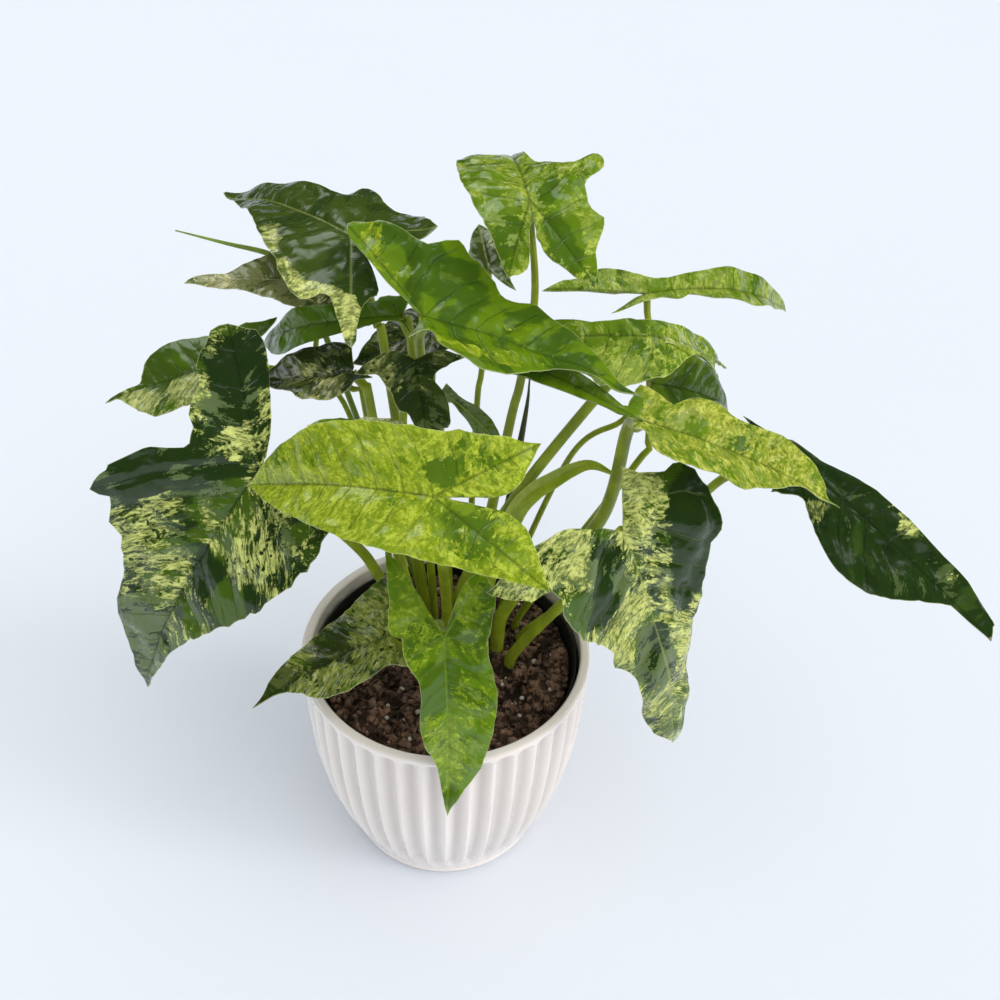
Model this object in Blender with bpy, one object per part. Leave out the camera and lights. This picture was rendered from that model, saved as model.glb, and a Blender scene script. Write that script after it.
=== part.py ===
"""A potted arrowhead plant: a fluted ceramic cover pot, a black nursery pot standing in it, the soil,
and the plant's leaves, each a thin blade on its own leaf stalk.

Lengths in the tables are millimetres and angles are degrees. +Z is up, the pot stands on Z = 0
with its axis on Z, and the front of the plant faces -Y.
"""

import math

import bmesh
import bpy
import numpy as np
from mathutils import Vector

MM = 0.001

# Cover pot
POT_HEIGHT = 123.0
POT_WALL = 4.6
FLUTES = 40
FLUTE_DEPTH = 1.7
LIP_HEIGHT = 5.5
LIP_RADIUS = 70.3
LIP_INNER_RADIUS = 65.4
# (height, outer radius) from the foot to just under the lip
POT_SIDE = ((0.0, 46.5), (1.6, 48.6), (6.0, 50.3), (16.0, 54.6), (30.0, 59.8), (50.0, 64.9),
            (72.0, 67.9), (95.0, 69.6), (115.0, 70.2))
FLUTE_START = 14.0
POT_FLOOR = 6.0

# Nursery pot and soil
NURSERY_TOP = 116.5
NURSERY_RADIUS_TOP = 64.2
NURSERY_RADIUS_FOOT = 40.0
NURSERY_WALL = 1.2
SOIL_TOP = 111.5
SOIL_RADIUS_TOP = 60.6
SOIL_RADIUS_FOOT = 38.0
HOLE_DEPTH = 13.0
GAP = 0.35

# Leaves
BLADE = 0.8
RINGS = (0.0, 0.34, 0.68, 1.0)
OUTER_STEPS = 10
INNER_STEPS = 4
STALK_SIDES = 7
STALK_STEPS = 9
# Directions round the leaf, from its tip, at which rise and droop are given
AROUND = (0, 25, 65, 105, 145, 180)

# Each blade: where its stalk meets it, how it lies and bends, and the outline of its two halves as
# (along the midrib, out from it) from after the tip to the lobe's tip, then the notch back to the seat.
LEAVES = {
    "front": dict(
        tone="lime", seat=(-5, -62, 275), heading=173, pitch=5, roll=-39, length=93,
        fold=8, droop=-62, rise_left=(6, 4, 2), rise_right=(5, 5, 1),
        droop_left=(-20, -23), droop_right=(-20, -24),
        left=((71, 9), (36, 19), (9, 23), (-48, 28)),
        left_notch=((-33, 4), (-7, 0), (-4, 0)),
        right=((63, -19), (37, -25), (4, -25), (-10, -26), (-37, -27)),
        right_notch=((-28, -6), (-8, -2), (-4, -1))),
    "front_drop": dict(
        tone="lime", seat=(-1, -52, 187), heading=277, pitch=-59, roll=-6, length=92,
        fold=6, droop=-23, rise_left=(5, 5, 6), rise_right=(7, 3, -2),
        droop_left=(-20, -22), droop_right=(-20, -26),
        left=((84, 3), (64, 14), (35, 21), (22, 21), (11, 19), (3, 19), (-14, 23), (-27, 19)),
        left_notch=((-24, 12), (-16, 6), (-7, 3), (-3, 1)),
        right=((83, -3), (74, -3), (59, -6), (45, -12), (21, -12), (15, -14), (10, -17), (3, -18),
               (-1, -18), (-5, -23), (-18, -22), (-38, -22)),
        right_notch=((-32, -16), (-6, -3), (-3, -2))),
    "low_left": dict(
        tone="dark", seat=(-26, -28, 161), heading=196, pitch=-12, roll=-5, length=72,
        fold=3, droop=-27, rise_left=(12, 5, 0), rise_right=(7, 16, 1),
        droop_left=(-18, -25), droop_right=(-17, -21),
        left=((54, 3), (38, 17), (27, 21), (18, 21), (11, 20), (4, 16), (-6, 21)),
        left_notch=((-3, 12), (-1, 3)),
        right=((55, -8), (27, -17), (15, -20), (4, -26), (-4, -28), (-9, -30), (-12, -26)),
        right_notch=((-4, -7), (-2, -3))),
    "left_large": dict(
        tone="dark", seat=(-77, -8, 243), heading=216, pitch=-42, roll=-26, length=145,
        fold=6, droop=-48, rise_left=(6, 4, 0), rise_right=(20, 11, 3),
        droop_left=(-19, -25), droop_right=(-11, -19),
        left=((106, 8), (88, 14), (56, 32), (38, 39), (25, 42), (18, 43), (4, 41), (-18, 32)),
        left_notch=((-16, 21), (-9, 9), (-3, 3)),
        right=((131, -6), (99, -24), (78, -27), (63, -34), (61, -40), (51, -43), (54, -51), (51, -53),
               (41, -51), (24, -43), (13, -30), (9, -29), (-1, -38), (-12, -42), (-19, -49), (-29, -51),
               (-39, -49)),
        right_notch=((-42, -39), (-41, -30), (-20, -10), (-10, -4), (-4, -2))),
    "left_back": dict(
        tone="dark", seat=(-96, 44, 259), heading=179, pitch=-19, roll=-24, length=64,
        fold=4, droop=-11, rise_left=(6, 5, 1), rise_right=(3, 3, 3),
        droop_left=(-19, -24), droop_right=(-21, -23),
        left=((57, 1), (38, 16), (28, 18), (8, 16), (-12, 16)),
        left_notch=((-8, 8), (-4, 3)),
        right=((60, -2), (51, -1), (44, -3), (40, -12), (31, -17), (18, -18), (0, -16), (-24, -17)),
        right_notch=((-21, -13), (-5, -2), (-3, -1))),
    "middle_left": dict(
        tone="green", seat=(-19, 24, 297), heading=171, pitch=-9, roll=-46, length=98,
        fold=4, droop=-66, rise_left=(5, 4, 0), rise_right=(5, 4, 0),
        droop_left=(-20, -25), droop_right=(-20, -25),
        left=((78, 9), (64, 11), (57, 9), (44, 8), (37, 5), (29, 3), (3, 2), (-5, 8)),
        left_notch=((-3, 4), (-2, 3)),
        right=((82, -3), (61, -8), (52, -9), (16, -6), (7, -8), (1, -8), (-5, -9)),
        right_notch=((-3, -5), (-2, -3))),
    "centre": dict(
        tone="green", seat=(-9, -2, 314), heading=-15, pitch=-5, roll=5, length=89,
        fold=3, droop=-18, rise_left=(11, 41, 18), rise_right=(26, 5, 0),
        droop_left=(-15, -6), droop_right=(-21, -25),
        left=((51, 16), (44, 21), (38, 23), (27, 22), (15, 32), (9, 33), (3, 35), (-6, 29), (-11, 28),
              (-24, 32), (-38, 30), (-42, 28)),
        left_notch=((-38, 22), (-16, 7), (-7, 2), (-3, 1)),
        right=((54, -7), (40, -21), (30, -30), (25, -30), (20, -29), (13, -25), (8, -17), (-1, -17)),
        right_notch=((0, -10), (0, -4))),
    "right_upper": dict(
        tone="lime", seat=(83, 8, 299), heading=181, pitch=5, roll=-24, length=81,
        fold=2, droop=-37, rise_left=(-7, 2, -18), rise_right=(4, 3, -22),
        droop_left=(-22, -41), droop_right=(-20, -61),
        left=((52, 9), (48, 13), (29, 17), (24, 21), (20, 22), (9, 21), (0, 18), (-7, 15), (-22, 1),
              (-40, 2)),
        left_notch=((-11, 1), (-4, 0)),
        right=((45, -9), (28, -6), (11, -8), (3, -7), (-22, -15), (-33, -18), (-45, -16), (-42, -3),
               (-49, -3)),
        right_notch=((-12, -1), (-4, 0))),
    "right_long": dict(
        tone="lime", seat=(76, -25, 282), heading=-8, pitch=-12, roll=12, length=94,
        fold=4, droop=-26, rise_left=(5, 4, 8), rise_right=(6, 4, 0),
        droop_left=(-20, -19), droop_right=(-20, -25),
        left=((87, 1), (84, 8), (71, 16), (40, 17), (33, 20), (23, 20), (18, 18), (12, 12), (-2, 18),
              (-5, 11), (-7, 5), (-12, 6), (-19, 9.5), (-27, 12.5), (-36, 13), (-45, 10.5), (-54, 7.5),
              (-61, 4)),
        left_notch=((-40, 2), (-16, 1), (-4, 0.3)),
        right=((82, -2), (73, -2), (52, -13), (43, -17), (31, -15), (17, -17), (10, -15), (5, -12),
               (2, -5), (-3, -4)),
        right_notch=((-4, -2),)),
    "far_right": dict(
        tone="dark", seat=(145, -5, 247), heading=-38, pitch=-17, roll=25, length=117,
        fold=1, droop=-29, rise_left=(4, 4, -29), rise_right=(4, 4, 0),
        droop_left=(-20, -31), droop_right=(-21, -25),
        left=((113, 9), (108, 11), (43, 13), (31, 12), (2, 7), (-35, 14)),
        left_notch=((-8, 0), (-4, 0)),
        right=((104, -2), (93, -2), (70, -19), (60, -25), (48, -27), (40, -25), (29, -19), (22, -13),
               (14, -11), (3, -18)),
        right_notch=((0, -5),)),
    "right_low": dict(
        tone="dark", seat=(70, -46, 243), heading=318, pitch=-57, roll=16, length=123,
        fold=-7, droop=-33, rise_left=(13, 6, -27), rise_right=(3, 2, 0),
        droop_left=(-16, -28), droop_right=(-21, -25),
        left=((124, 0), (126, 11), (106, 12), (70, 18), (62, 20), (55, 26), (38, 30), (27, 35), (23, 39),
              (12, 43), (-5, 41), (-12, 35), (-12, 27), (-17, 19), (-21, 18)),
        left_notch=((-5, 4), (-3, 2)),
        right=((108, -12), (69, -14), (59, -21), (50, -20), (35, -31), (22, -37), (11, -37), (5, -39),
               (5, -48), (-1, -56), (-7, -62)),
        right_notch=((-14, -27), (-5, -9), (-2, -3))),
    "top": dict(
        tone="lime", seat=(31, 20, 352), heading=99, pitch=11, roll=-9, length=82,
        fold=5, droop=-60, rise_left=(5, -10, -30), rise_right=(7, -5, -30),
        droop_left=(-49, -34), droop_right=(-39, -32),
        left=((51, 7), (53, 13), (53, 19), (56, 23), (37, 24), (18, 23), (-9, 18), (-19, 18), (-25, 17)),
        left_notch=((-25, 8), (-21, 6), (-17, 11), (-2, 3)),
        right=((60, -5), (34, -5), (24, -12), (18, -22), (20, -31), (12, -31), (6, -23), (-3, -22),
               (-7, -24), (-9, -27), (-13, -27), (-20, -24), (-29, -24), (-34, -23)),
        right_notch=((-30, -14), (-25, -6), (-19, -1), (-6, 0), (-4, 0))),
    "back_right": dict(
        tone="lime", seat=(88, 62, 285), heading=18, pitch=-1, roll=28, length=102,
        fold=7, droop=-51, rise_left=(4, 6, 5), rise_right=(5, 5, 7),
        droop_left=(-20, -23), droop_right=(-20, -22),
        left=((98, 6), (69, 10), (53, 11), (34, 9), (13, 6), (3, 7), (-12, 14), (-19, 15), (-30, 12),
              (-38, 12), (-47, 9)),
        left_notch=((-36, 7), (-25, 6), (-8, 1), (-4, 0)),
        right=((61, -8), (58, -4), (47, -2), (23, -2), (15, -5), (4, -3), (-21, -8)),
        right_notch=((-8, -2), (-4, -1))),
    "upper_left": dict(
        tone="dark", seat=(-39, 44, 322), heading=132, pitch=-2, roll=-9, length=102,
        fold=5, droop=-24, rise_left=(2, -11, -13), rise_right=(-3, 3, 12),
        droop_left=(-23, -36), droop_right=(-22, -20),
        left=((69, 9), (51, 15), (30, 24), (19, 27), (5, 33), (-5, 35), (-13, 27), (-19, 28), (-34, 36),
              (-38, 36)),
        left_notch=((-37, 32), (-32, 27), (-27, 18), (-28, 11), (-17, 4), (-6, 1), (-4, 0)),
        right=((105, -6), (72, -12), (61, -15), (43, -15), (28, -20), (27, -30), (4, -24), (-3, -27),
               (-13, -27), (-31, -21)),
        right_notch=((-30, -12), (-22, -6), (-10, -2), (-4, -1))),
    "back_left": dict(
        tone="green", seat=(-54, 71, 282), heading=178, pitch=8, roll=-3, length=63,
        fold=5, droop=-20, rise_left=(4, 2, -1), rise_right=(9, 9, 0),
        droop_left=(-21, -27), droop_right=(-17, -23),
        left=((55, 3), (46, 8), (11, 19), (1, 18), (-14, 19)),
        left_notch=((-10, 9), (-3, 2)),
        right=((61, -3), (57, -5), (48, -4), (42, -6), (35, -11), (14, -24), (-4, -25)),
        right_notch=((-3, -10), (-1, -3))),
    "left_marbled": dict(
        tone="dark", seat=(-40, 21, 271), heading=171, pitch=-14, roll=-6, length=46,
        fold=5, droop=-4, rise_left=(1, 12, 26), rise_right=(7, 5, 0),
        droop_left=(-22, -15), droop_right=(-19, -25),
        left=((35, 4), (22, 13), (16, 15), (8, 15), (-2, 13), (-5, 11), (-14, 13)),
        left_notch=((-8, 7), (-3, 2)),
        right=((32, -13), (21, -18), (10, -19), (3, -18)),
        right_notch=((1, -8), (0, -4))),
    "middle_hanging": dict(
        tone="dark", seat=(-13, 6, 288), heading=284, pitch=-47, roll=3, length=81,
        fold=4, droop=-31, rise_left=(5, 4, 0), rise_right=(4, 3, 0),
        droop_left=(-20, -25), droop_right=(-21, -25),
        left=((35, 4), (28, 10), (16, 10), (8, 6), (4, 13), (2, 20)),
        left_notch=((-2, 13), (-2, 6), (-1, 3)),
        right=((28, -4), (19, -10), (11, -12), (4, -16), (3, -21), (2, -25)),
        right_notch=((-3, -17), (-5, -8), (-2, -3))),
    "back_small": dict(
        tone="green", seat=(18, 68, 293), heading=100, pitch=19, roll=-12, length=29,
        fold=4, droop=-17, rise_left=(5, 4, 0), rise_right=(5, 4, 8),
        droop_left=(-20, -25), droop_right=(-20, -18),
        left=((24, 3), (11, 7), (-7, 7), (-15, 5)),
        left_notch=((-7, 2), (-3, 1)),
        right=((25, -3), (15, -5), (-15, -9)),
        right_notch=((-11, -5), (-6, -2), (-3, -1))),
    "middle_under": dict(
        tone="green", seat=(-3, 54, 236), heading=339, pitch=-25, roll=3, length=45,
        fold=4, droop=-35, rise_left=(5, 4, 0), rise_right=(5, 4, 0),
        droop_left=(-20, -25), droop_right=(-20, -25),
        left=((40, 3), (26, 7), (17, 6), (8, 4), (0, 6)),
        left_notch=((0, 3),),
        right=((36, -7), (26, -7), (16, -3), (8, -2), (1, -9)),
        right_notch=((0, -4),)),
    "behind_front": dict(
        tone="dark", seat=(-30, -5, 258), heading=173, pitch=7, roll=-13, length=28,
        fold=3, droop=-6, rise_left=(4, 3, -2), rise_right=(4, 6, 7),
        droop_left=(-21, -27), droop_right=(-20, -19),
        left=((22, 5), (10, 11), (-9, 11)),
        left_notch=((-5, 5), (-3, 3)),
        right=((24, -3), (17, -5), (10, -6), (3, -9), (-11, -9)),
        right_notch=((-6, -4), (-3, -2))),
    "right_dark": dict(
        tone="dark", seat=(89, 28, 261), heading=11, pitch=-15, roll=35, length=58,
        fold=6, droop=-46, rise_left=(7, 5, 0), rise_right=(6, 5, 0),
        droop_left=(-18, -25), droop_right=(-20, -25),
        left=((31, 15), (20, 18), (10, 17), (0, 15)),
        left_notch=((-1, 7), (0, 4)),
        right=((30, -11), (14, -16), (0, -14)),
        right_notch=((-2, -7), (-1, -4))),
    "inner_marbled": dict(
        tone="dark", seat=(-6, 68, 262), heading=192, pitch=-16, roll=-10, length=42,
        fold=5, droop=-15, rise_left=(6, 4, 0), rise_right=(6, 4, 0),
        droop_left=(-18, -20), droop_right=(-18, -20),
        left=((32, 9), (18, 15), (4, 16), (-6, 14)),
        left_notch=((-4, 5), (-2, 2)),
        right=((30, -8), (16, -14), (2, -15), (-8, -12)),
        right_notch=((-5, -5), (-2, -2))),
}

# Each leaf stalk: its place in the soil and the points it passes on its way to the blade
STALKS = {
    "front": dict(base=(0, 8), past=((0, -6, 161),), radius_base=2.8, radius_top=1.8, stand_off=0.3),
    "right_upper": dict(base=(8, 16), past=((7, 14, 147), (28, 13, 202), (60, 11, 262)),
        radius_base=2.9, radius_top=2.2, stand_off=0.49),
    "right_long": dict(base=(25, 7), past=((31, 7, 147), (68, 5, 199), (74, -7, 263)),
        radius_base=3.4, radius_top=2.7, stand_off=0.45),
    "top": dict(base=(12, 27), past=((27, 23, 239), (31, 22, 265), (35, 21, 307)),
        radius_base=3.2, radius_top=1.2, stand_off=1.22),
    "back_right": dict(base=(35, 22), past=((87, 34, 209), (93, 40, 220), (90, 59, 268)),
        radius_base=1.9, radius_top=1.5, stand_off=0.19),
    "back_small": dict(base=(11, 45), past=((14, 62, 221), (16, 66, 240)),
        radius_base=1.7, radius_top=1.3, stand_off=0.42),
    "upper_left": dict(base=(-12, 36), past=((-27, 42, 266), (-30, 44, 279)),
        radius_base=2.6, radius_top=1.9, stand_off=0.85),
    "middle_left": dict(base=(-6, 27), past=((-15, 24, 282),),
        radius_base=2.0, radius_top=1.7, stand_off=0.55),
    "centre": dict(base=(2, 18), past=((-3, 20, 212), (-11, 20, 281)),
        radius_base=2.4, radius_top=1.8, stand_off=0.06),
    "left_marbled": dict(base=(-18, 18), past=((-32, 19, 248), (-34, 19, 265)),
        radius_base=2.4, radius_top=2.0, stand_off=-0.57),
    "left_back": dict(base=(-25, 27), past=((-36, 36, 236), (-42, 40, 248), (-70, 50, 250)),
        radius_base=1.6, radius_top=1.3, stand_off=0.27),
    "back_left": dict(base=(-19, 37), past=((-45, 48, 228), (-60, 60, 235), (-60, 68, 252)),
        radius_base=1.4, radius_top=1.2, stand_off=0.37),
    "left_large": dict(base=(-12, 9), past=((-32, 11, 160), (-42, 8, 183)),
        radius_base=2.8, radius_top=2.2, stand_off=0.18),
    "low_left": dict(base=(-15, -4), past=(), radius_base=2.3, radius_top=1.8, stand_off=0.06),
    "front_drop": dict(base=(3, -9), past=((-3, -30, 170),),
        radius_base=2.4, radius_top=1.8, stand_off=0.36),
    "right_low": dict(base=(31, -3), past=((58, -16, 178),),
        radius_base=2.8, radius_top=2.0, stand_off=0.58),
    "far_right": dict(base=(37, 12), past=((90, 6, 175), (118, 2, 227)),
        radius_base=2.4, radius_top=1.9, stand_off=0.93),
    "middle_hanging": dict(base=(-9, 21), past=((-19, 22, 234),),
        radius_base=2.0, radius_top=1.6, stand_off=0.34),
    "middle_under": dict(base=(2, 48), past=(), radius_base=1.4, radius_top=1.2, stand_off=0.42),
    "behind_front": dict(base=(-8, 0), past=((-20, 4, 177),),
        radius_base=1.5, radius_top=1.2, stand_off=0.39),
    "right_dark": dict(base=(28, 33), past=((56, 34, 213), (78, 32, 237)),
        radius_base=1.6, radius_top=1.3, stand_off=0.27),
    "inner_marbled": dict(base=(-8, 54), past=((-8, 62, 200),),
        radius_base=1.6, radius_top=1.3, stand_off=0.4),
}

# Rolled and folded young leaves, and an old leaf's stub, drawn along a line from in the soil
SPEARS = {
    "rolled_leaf_back": dict(
        line=((-14, 46, 99.5), (-14, 46, 115.5), (-67, 90, 275), (-80, 94, 283), (-101, 97, 287),
              (-123, 99, 292)),
        radius=1.5, swell=1.7, swell_at=0.62, flatten=1.0),
    "young_leaf": dict(
        line=((15, 4, 99.5), (15, 4, 115.5), (22, 5, 170), (30, 5, 204), (38, 5, 218), (46, 5, 225),
              (54, 5, 231), (63, 5, 234), (75, 4, 228)),
        radius=1.9, swell=4.4, swell_at=0.42, flatten=0.35),
    "old_stalk": dict(
        line=((21, 32, 99.5), (21, 32, 115.5), (34, 32, 232), (36, 34, 260)),
        radius=1.7, swell=1.7, swell_at=0.6, flatten=1.0),
}


def clear_scene():
    for obj in list(bpy.data.objects):
        bpy.data.objects.remove(obj, do_unlink=True)


def material(name, color, roughness, metallic=0.0):
    mat = bpy.data.materials.new(name)
    mat.use_nodes = True
    shader = mat.node_tree.nodes["Principled BSDF"]
    shader.inputs["Base Color"].default_value = (*color, 1.0)
    shader.inputs["Roughness"].default_value = roughness
    shader.inputs["Metallic"].default_value = metallic
    return mat


def add_object(name, verts, faces, mat, parent, smooth=True):
    """Makes a named object from millimetre points, with its faces turned outwards."""
    mesh = bpy.data.meshes.new(name)
    mesh.from_pydata([(x * MM, y * MM, z * MM) for x, y, z in verts], [], faces)
    shell = bmesh.new()
    shell.from_mesh(mesh)
    bmesh.ops.recalc_face_normals(shell, faces=shell.faces)
    shell.to_mesh(mesh)
    shell.free()
    if smooth:
        mesh.shade_smooth()
        mesh.set_sharp_from_angle(angle=math.radians(50))
    mesh.materials.append(mat)
    obj = bpy.data.objects.new(name, mesh)
    bpy.context.scene.collection.objects.link(obj)
    obj.parent = parent
    return obj


def turned(profile, sides, radius_at=None):
    """Rings of points round Z for a closed turned body; profile runs (radius, height) round the section."""
    verts, faces = [], []
    for radius, height in profile:
        for k in range(sides):
            angle = 2 * math.pi * k / sides
            r = radius if radius_at is None else radius_at(radius, height, k)
            verts.append((r * math.cos(angle), r * math.sin(angle), height))
    for i in range(len(profile) - 1):
        for k in range(sides):
            a, b = i * sides + k, i * sides + (k + 1) % sides
            faces.append((a, b, b + sides, a + sides))
    faces.append(tuple(range(sides))[::-1])
    last = (len(profile) - 1) * sides
    faces.append(tuple(last + k for k in range(sides)))
    return verts, faces


def side_radius(height):
    heights = [h for h, _ in POT_SIDE]
    return float(np.interp(height, heights, [r for _, r in POT_SIDE]))


def make_pot(parent):
    """One fluted pot: the section climbs the outside, crosses the lip and goes down the inside."""
    outside = [(r, h) for h, r in POT_SIDE]
    lip = [(LIP_RADIUS, POT_HEIGHT - LIP_HEIGHT + 0.6), (LIP_RADIUS, POT_HEIGHT - 1.2),
           (LIP_RADIUS - 1.2, POT_HEIGHT), (LIP_INNER_RADIUS + 1.0, POT_HEIGHT),
           (LIP_INNER_RADIUS, POT_HEIGHT - 1.4)]
    inside = [(min(side_radius(h) - POT_WALL, LIP_INNER_RADIUS), h) for h in (100.0, 60.0, 25.0)]
    inside += [(side_radius(POT_FLOOR) - POT_WALL - 4.0, POT_FLOOR)]

    def fluted(radius, height, k):
        on_outside = radius > side_radius(height) - 0.01
        fade = min(1.0, max(0.0, (height - FLUTE_START) / 8.0))
        if on_outside and FLUTE_START < height < POT_HEIGHT - LIP_HEIGHT - 0.5 and k % 3:
            return radius - FLUTE_DEPTH * fade
        return radius

    # Three points a flute: the ridge, and the two ends of the hollow's flat floor
    verts, faces = turned(outside + lip + inside, 3 * FLUTES, fluted)
    glaze = material("pot_glaze", (0.80, 0.74, 0.71), 0.18)
    return add_object("pot", verts, faces, glaze, parent)


def make_nursery_pot(parent):
    def outer(h):
        return float(np.interp(h, (POT_FLOOR, NURSERY_TOP), (NURSERY_RADIUS_FOOT, NURSERY_RADIUS_TOP)))

    floor = POT_FLOOR + GAP
    section = [(outer(floor), floor), (outer(60), 60), (outer(108), 108), (outer(108) + 0.5, 108.6),
               (NURSERY_RADIUS_TOP, NURSERY_TOP), (NURSERY_RADIUS_TOP - NURSERY_WALL, NURSERY_TOP),
               (outer(60) - NURSERY_WALL, 60), (outer(floor) - NURSERY_WALL, floor + 1.5)]
    verts, faces = turned(section, 36)
    plastic = material("black_plastic", (0.012, 0.012, 0.013), 0.55)
    return add_object("nursery_pot", verts, faces, plastic, parent)


def soil_height(x, y):
    """Loose, crumbly surface: a few waves of different lengths, a little higher in the middle."""
    bumps = 1.0 * math.sin(0.21 * x + 1.3) * math.cos(0.17 * y - 0.4) + 0.6 * math.sin(0.43 * y + 0.31 * x)
    return SOIL_TOP + bumps + 1.2 * math.cos(math.pi * min(1.0, math.hypot(x, y) / SOIL_RADIUS_TOP))


def make_soil(parent, stalk_bases):
    sides, rings = 30, (10.0, 24.0, 38.0, 51.0, SOIL_RADIUS_TOP)
    verts, faces = [(0.0, 0.0, soil_height(0.0, 0.0))], []
    for radius in rings:
        for k in range(sides):
            angle = 2 * math.pi * (k + 0.5) / sides
            x, y = radius * math.cos(angle), radius * math.sin(angle)
            verts.append((x, y, soil_height(x, y)))
    bottom = POT_FLOOR + GAP + 1.5 + GAP
    for radius, height in ((SOIL_RADIUS_TOP - 1.0, 106.0), (SOIL_RADIUS_FOOT - 0.4, bottom)):
        for k in range(sides):
            angle = 2 * math.pi * (k + 0.5) / sides
            verts.append((radius * math.cos(angle), radius * math.sin(angle), height))
    for k in range(sides):
        faces.append((0, 1 + k, 1 + (k + 1) % sides))
    for i in range(len(rings) + 1):
        for k in range(sides):
            a, b = 1 + i * sides + k, 1 + i * sides + (k + 1) % sides
            faces.append((a, a + sides, b))
            faces.append((b, a + sides, b + sides))
    last = 1 + (len(rings) + 1) * sides
    faces.append(tuple(last + k for k in range(sides)))
    peat = material("soil", (0.055, 0.032, 0.022), 0.95)
    soil = add_object("soil", verts, faces, peat, parent, smooth=False)

    holes = bpy.data.collections.new("stalk_holes")
    bpy.context.scene.collection.children.link(holes)
    for number, (x, y, radius) in enumerate(stalk_bases):
        floor, roof, r = SOIL_TOP - HOLE_DEPTH, SOIL_TOP + 15.0, radius + 0.7
        ring = [(r * math.cos(a), r * math.sin(a)) for a in (2 * math.pi * k / 9 for k in range(9))]
        points = [(x + u, y + v, h) for h in (floor, roof) for u, v in ring]
        sides_of = [(k, (k + 1) % 9, 9 + (k + 1) % 9, 9 + k) for k in range(9)]
        sides_of += [tuple(range(9))[::-1], tuple(range(9, 18))]
        cutter = add_object(f"hole_{number}", points, sides_of, peat, parent, smooth=False)
        cutter.hide_render = True
        cutter.display_type = "WIRE"
        bpy.context.scene.collection.objects.unlink(cutter)
        holes.objects.link(cutter)
    cut = soil.modifiers.new("stalk_holes", "BOOLEAN")
    cut.operation = "DIFFERENCE"
    cut.operand_type = "COLLECTION"
    cut.collection = holes
    cut.solver = "EXACT"
    return soil


def smooth_run(points, steps, lead=None):
    """A smooth line through the points (Catmull-Rom), read at even lengths. It sets off away from lead."""
    pts = np.array([points[0]] + list(points) + [points[-1]], float)
    pts[0] = 2 * pts[1] - pts[2] if lead is None else lead
    pts[-1] = 2 * pts[-2] - pts[-3]
    line = []
    for p0, p1, p2, p3 in zip(pts, pts[1:], pts[2:], pts[3:]):
        for t in np.linspace(0, 1, 9)[:-1]:
            line.append(0.5 * (2 * p1 + (p2 - p0) * t + (2 * p0 - 5 * p1 + 4 * p2 - p3) * t * t
                               + (3 * p1 - p0 - 3 * p2 + p3) * t ** 3))
    line = np.array(line + [pts[-2]])
    length = np.concatenate([[0], np.cumsum(np.linalg.norm(np.diff(line, axis=0), axis=1))])
    even = np.linspace(0, length[-1], steps + 1)
    return np.stack([np.interp(even, length, line[:, i]) for i in range(line.shape[1])], 1)


def leaf_frame(leaf):
    """Unit vectors of the leaf at its seat: along the midrib, to its left, and out of its upper face."""
    h, p, r = (math.radians(leaf[k]) for k in ("heading", "pitch", "roll"))
    along = np.array([math.cos(p) * math.cos(h), math.cos(p) * math.sin(h), math.sin(p)])
    level = np.array([-math.sin(h), math.cos(h), 0.0])
    up = np.cross(along, level)
    return along, level * math.cos(r) + up * math.sin(r), -level * math.sin(r) + up * math.cos(r)


def half_outline(length, margin, notch, side):
    """One half of the leaf's edge as (angle, reach) from the seat: tip, margin, lobe tip, notch."""
    outer = smooth_run([(length, 0.0)] + [(u, v) for u, v in margin], OUTER_STEPS)
    inner = smooth_run([margin[-1]] + [(u, v) for u, v in notch], INNER_STEPS)
    line = np.vstack([outer, inner[1:]])
    angle = np.degrees(np.arctan2(np.abs(line[:, 1]) * 1.0, line[:, 0]))
    turn = np.maximum.accumulate(angle + np.arange(len(angle)) * 1e-3)
    for i in range(1, len(turn)):
        turn[i] = max(turn[i], turn[i - 1] + 0.6)
    turn = np.minimum(turn, 177.0 + np.arange(len(turn)) * 0.01)
    return side * turn, np.hypot(line[:, 0], line[:, 1])


def blade_point(leaf, axes, angle, reach):
    """A point of the blade. Each ray leaves the seat at its rise and bends by its droop over one length."""
    along, left, up = axes
    side = "left" if angle >= 0 else "right"
    rise_side, droop_side = leaf["rise_" + side], leaf["droop_" + side]
    rises = (0, leaf["fold"], *rise_side, rise_side[-1])
    droops = (leaf["droop"], leaf["droop"], droop_side[0], sum(droop_side) / 2, droop_side[1],
              droop_side[1])
    rise = math.radians(np.interp(abs(angle), AROUND, rises))
    droop = math.radians(np.interp(abs(angle), AROUND, droops))
    droop = droop if abs(droop) > 1e-4 else 1e-4
    length = leaf["length"]
    out = length / droop * (math.sin(rise + droop * reach / length) - math.sin(rise))
    lift = length / droop * (math.cos(rise) - math.cos(rise + droop * reach / length))
    a = math.radians(angle)
    return np.array(leaf["seat"]) + out * (math.cos(a) * along + math.sin(a) * left) + lift * up


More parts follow.
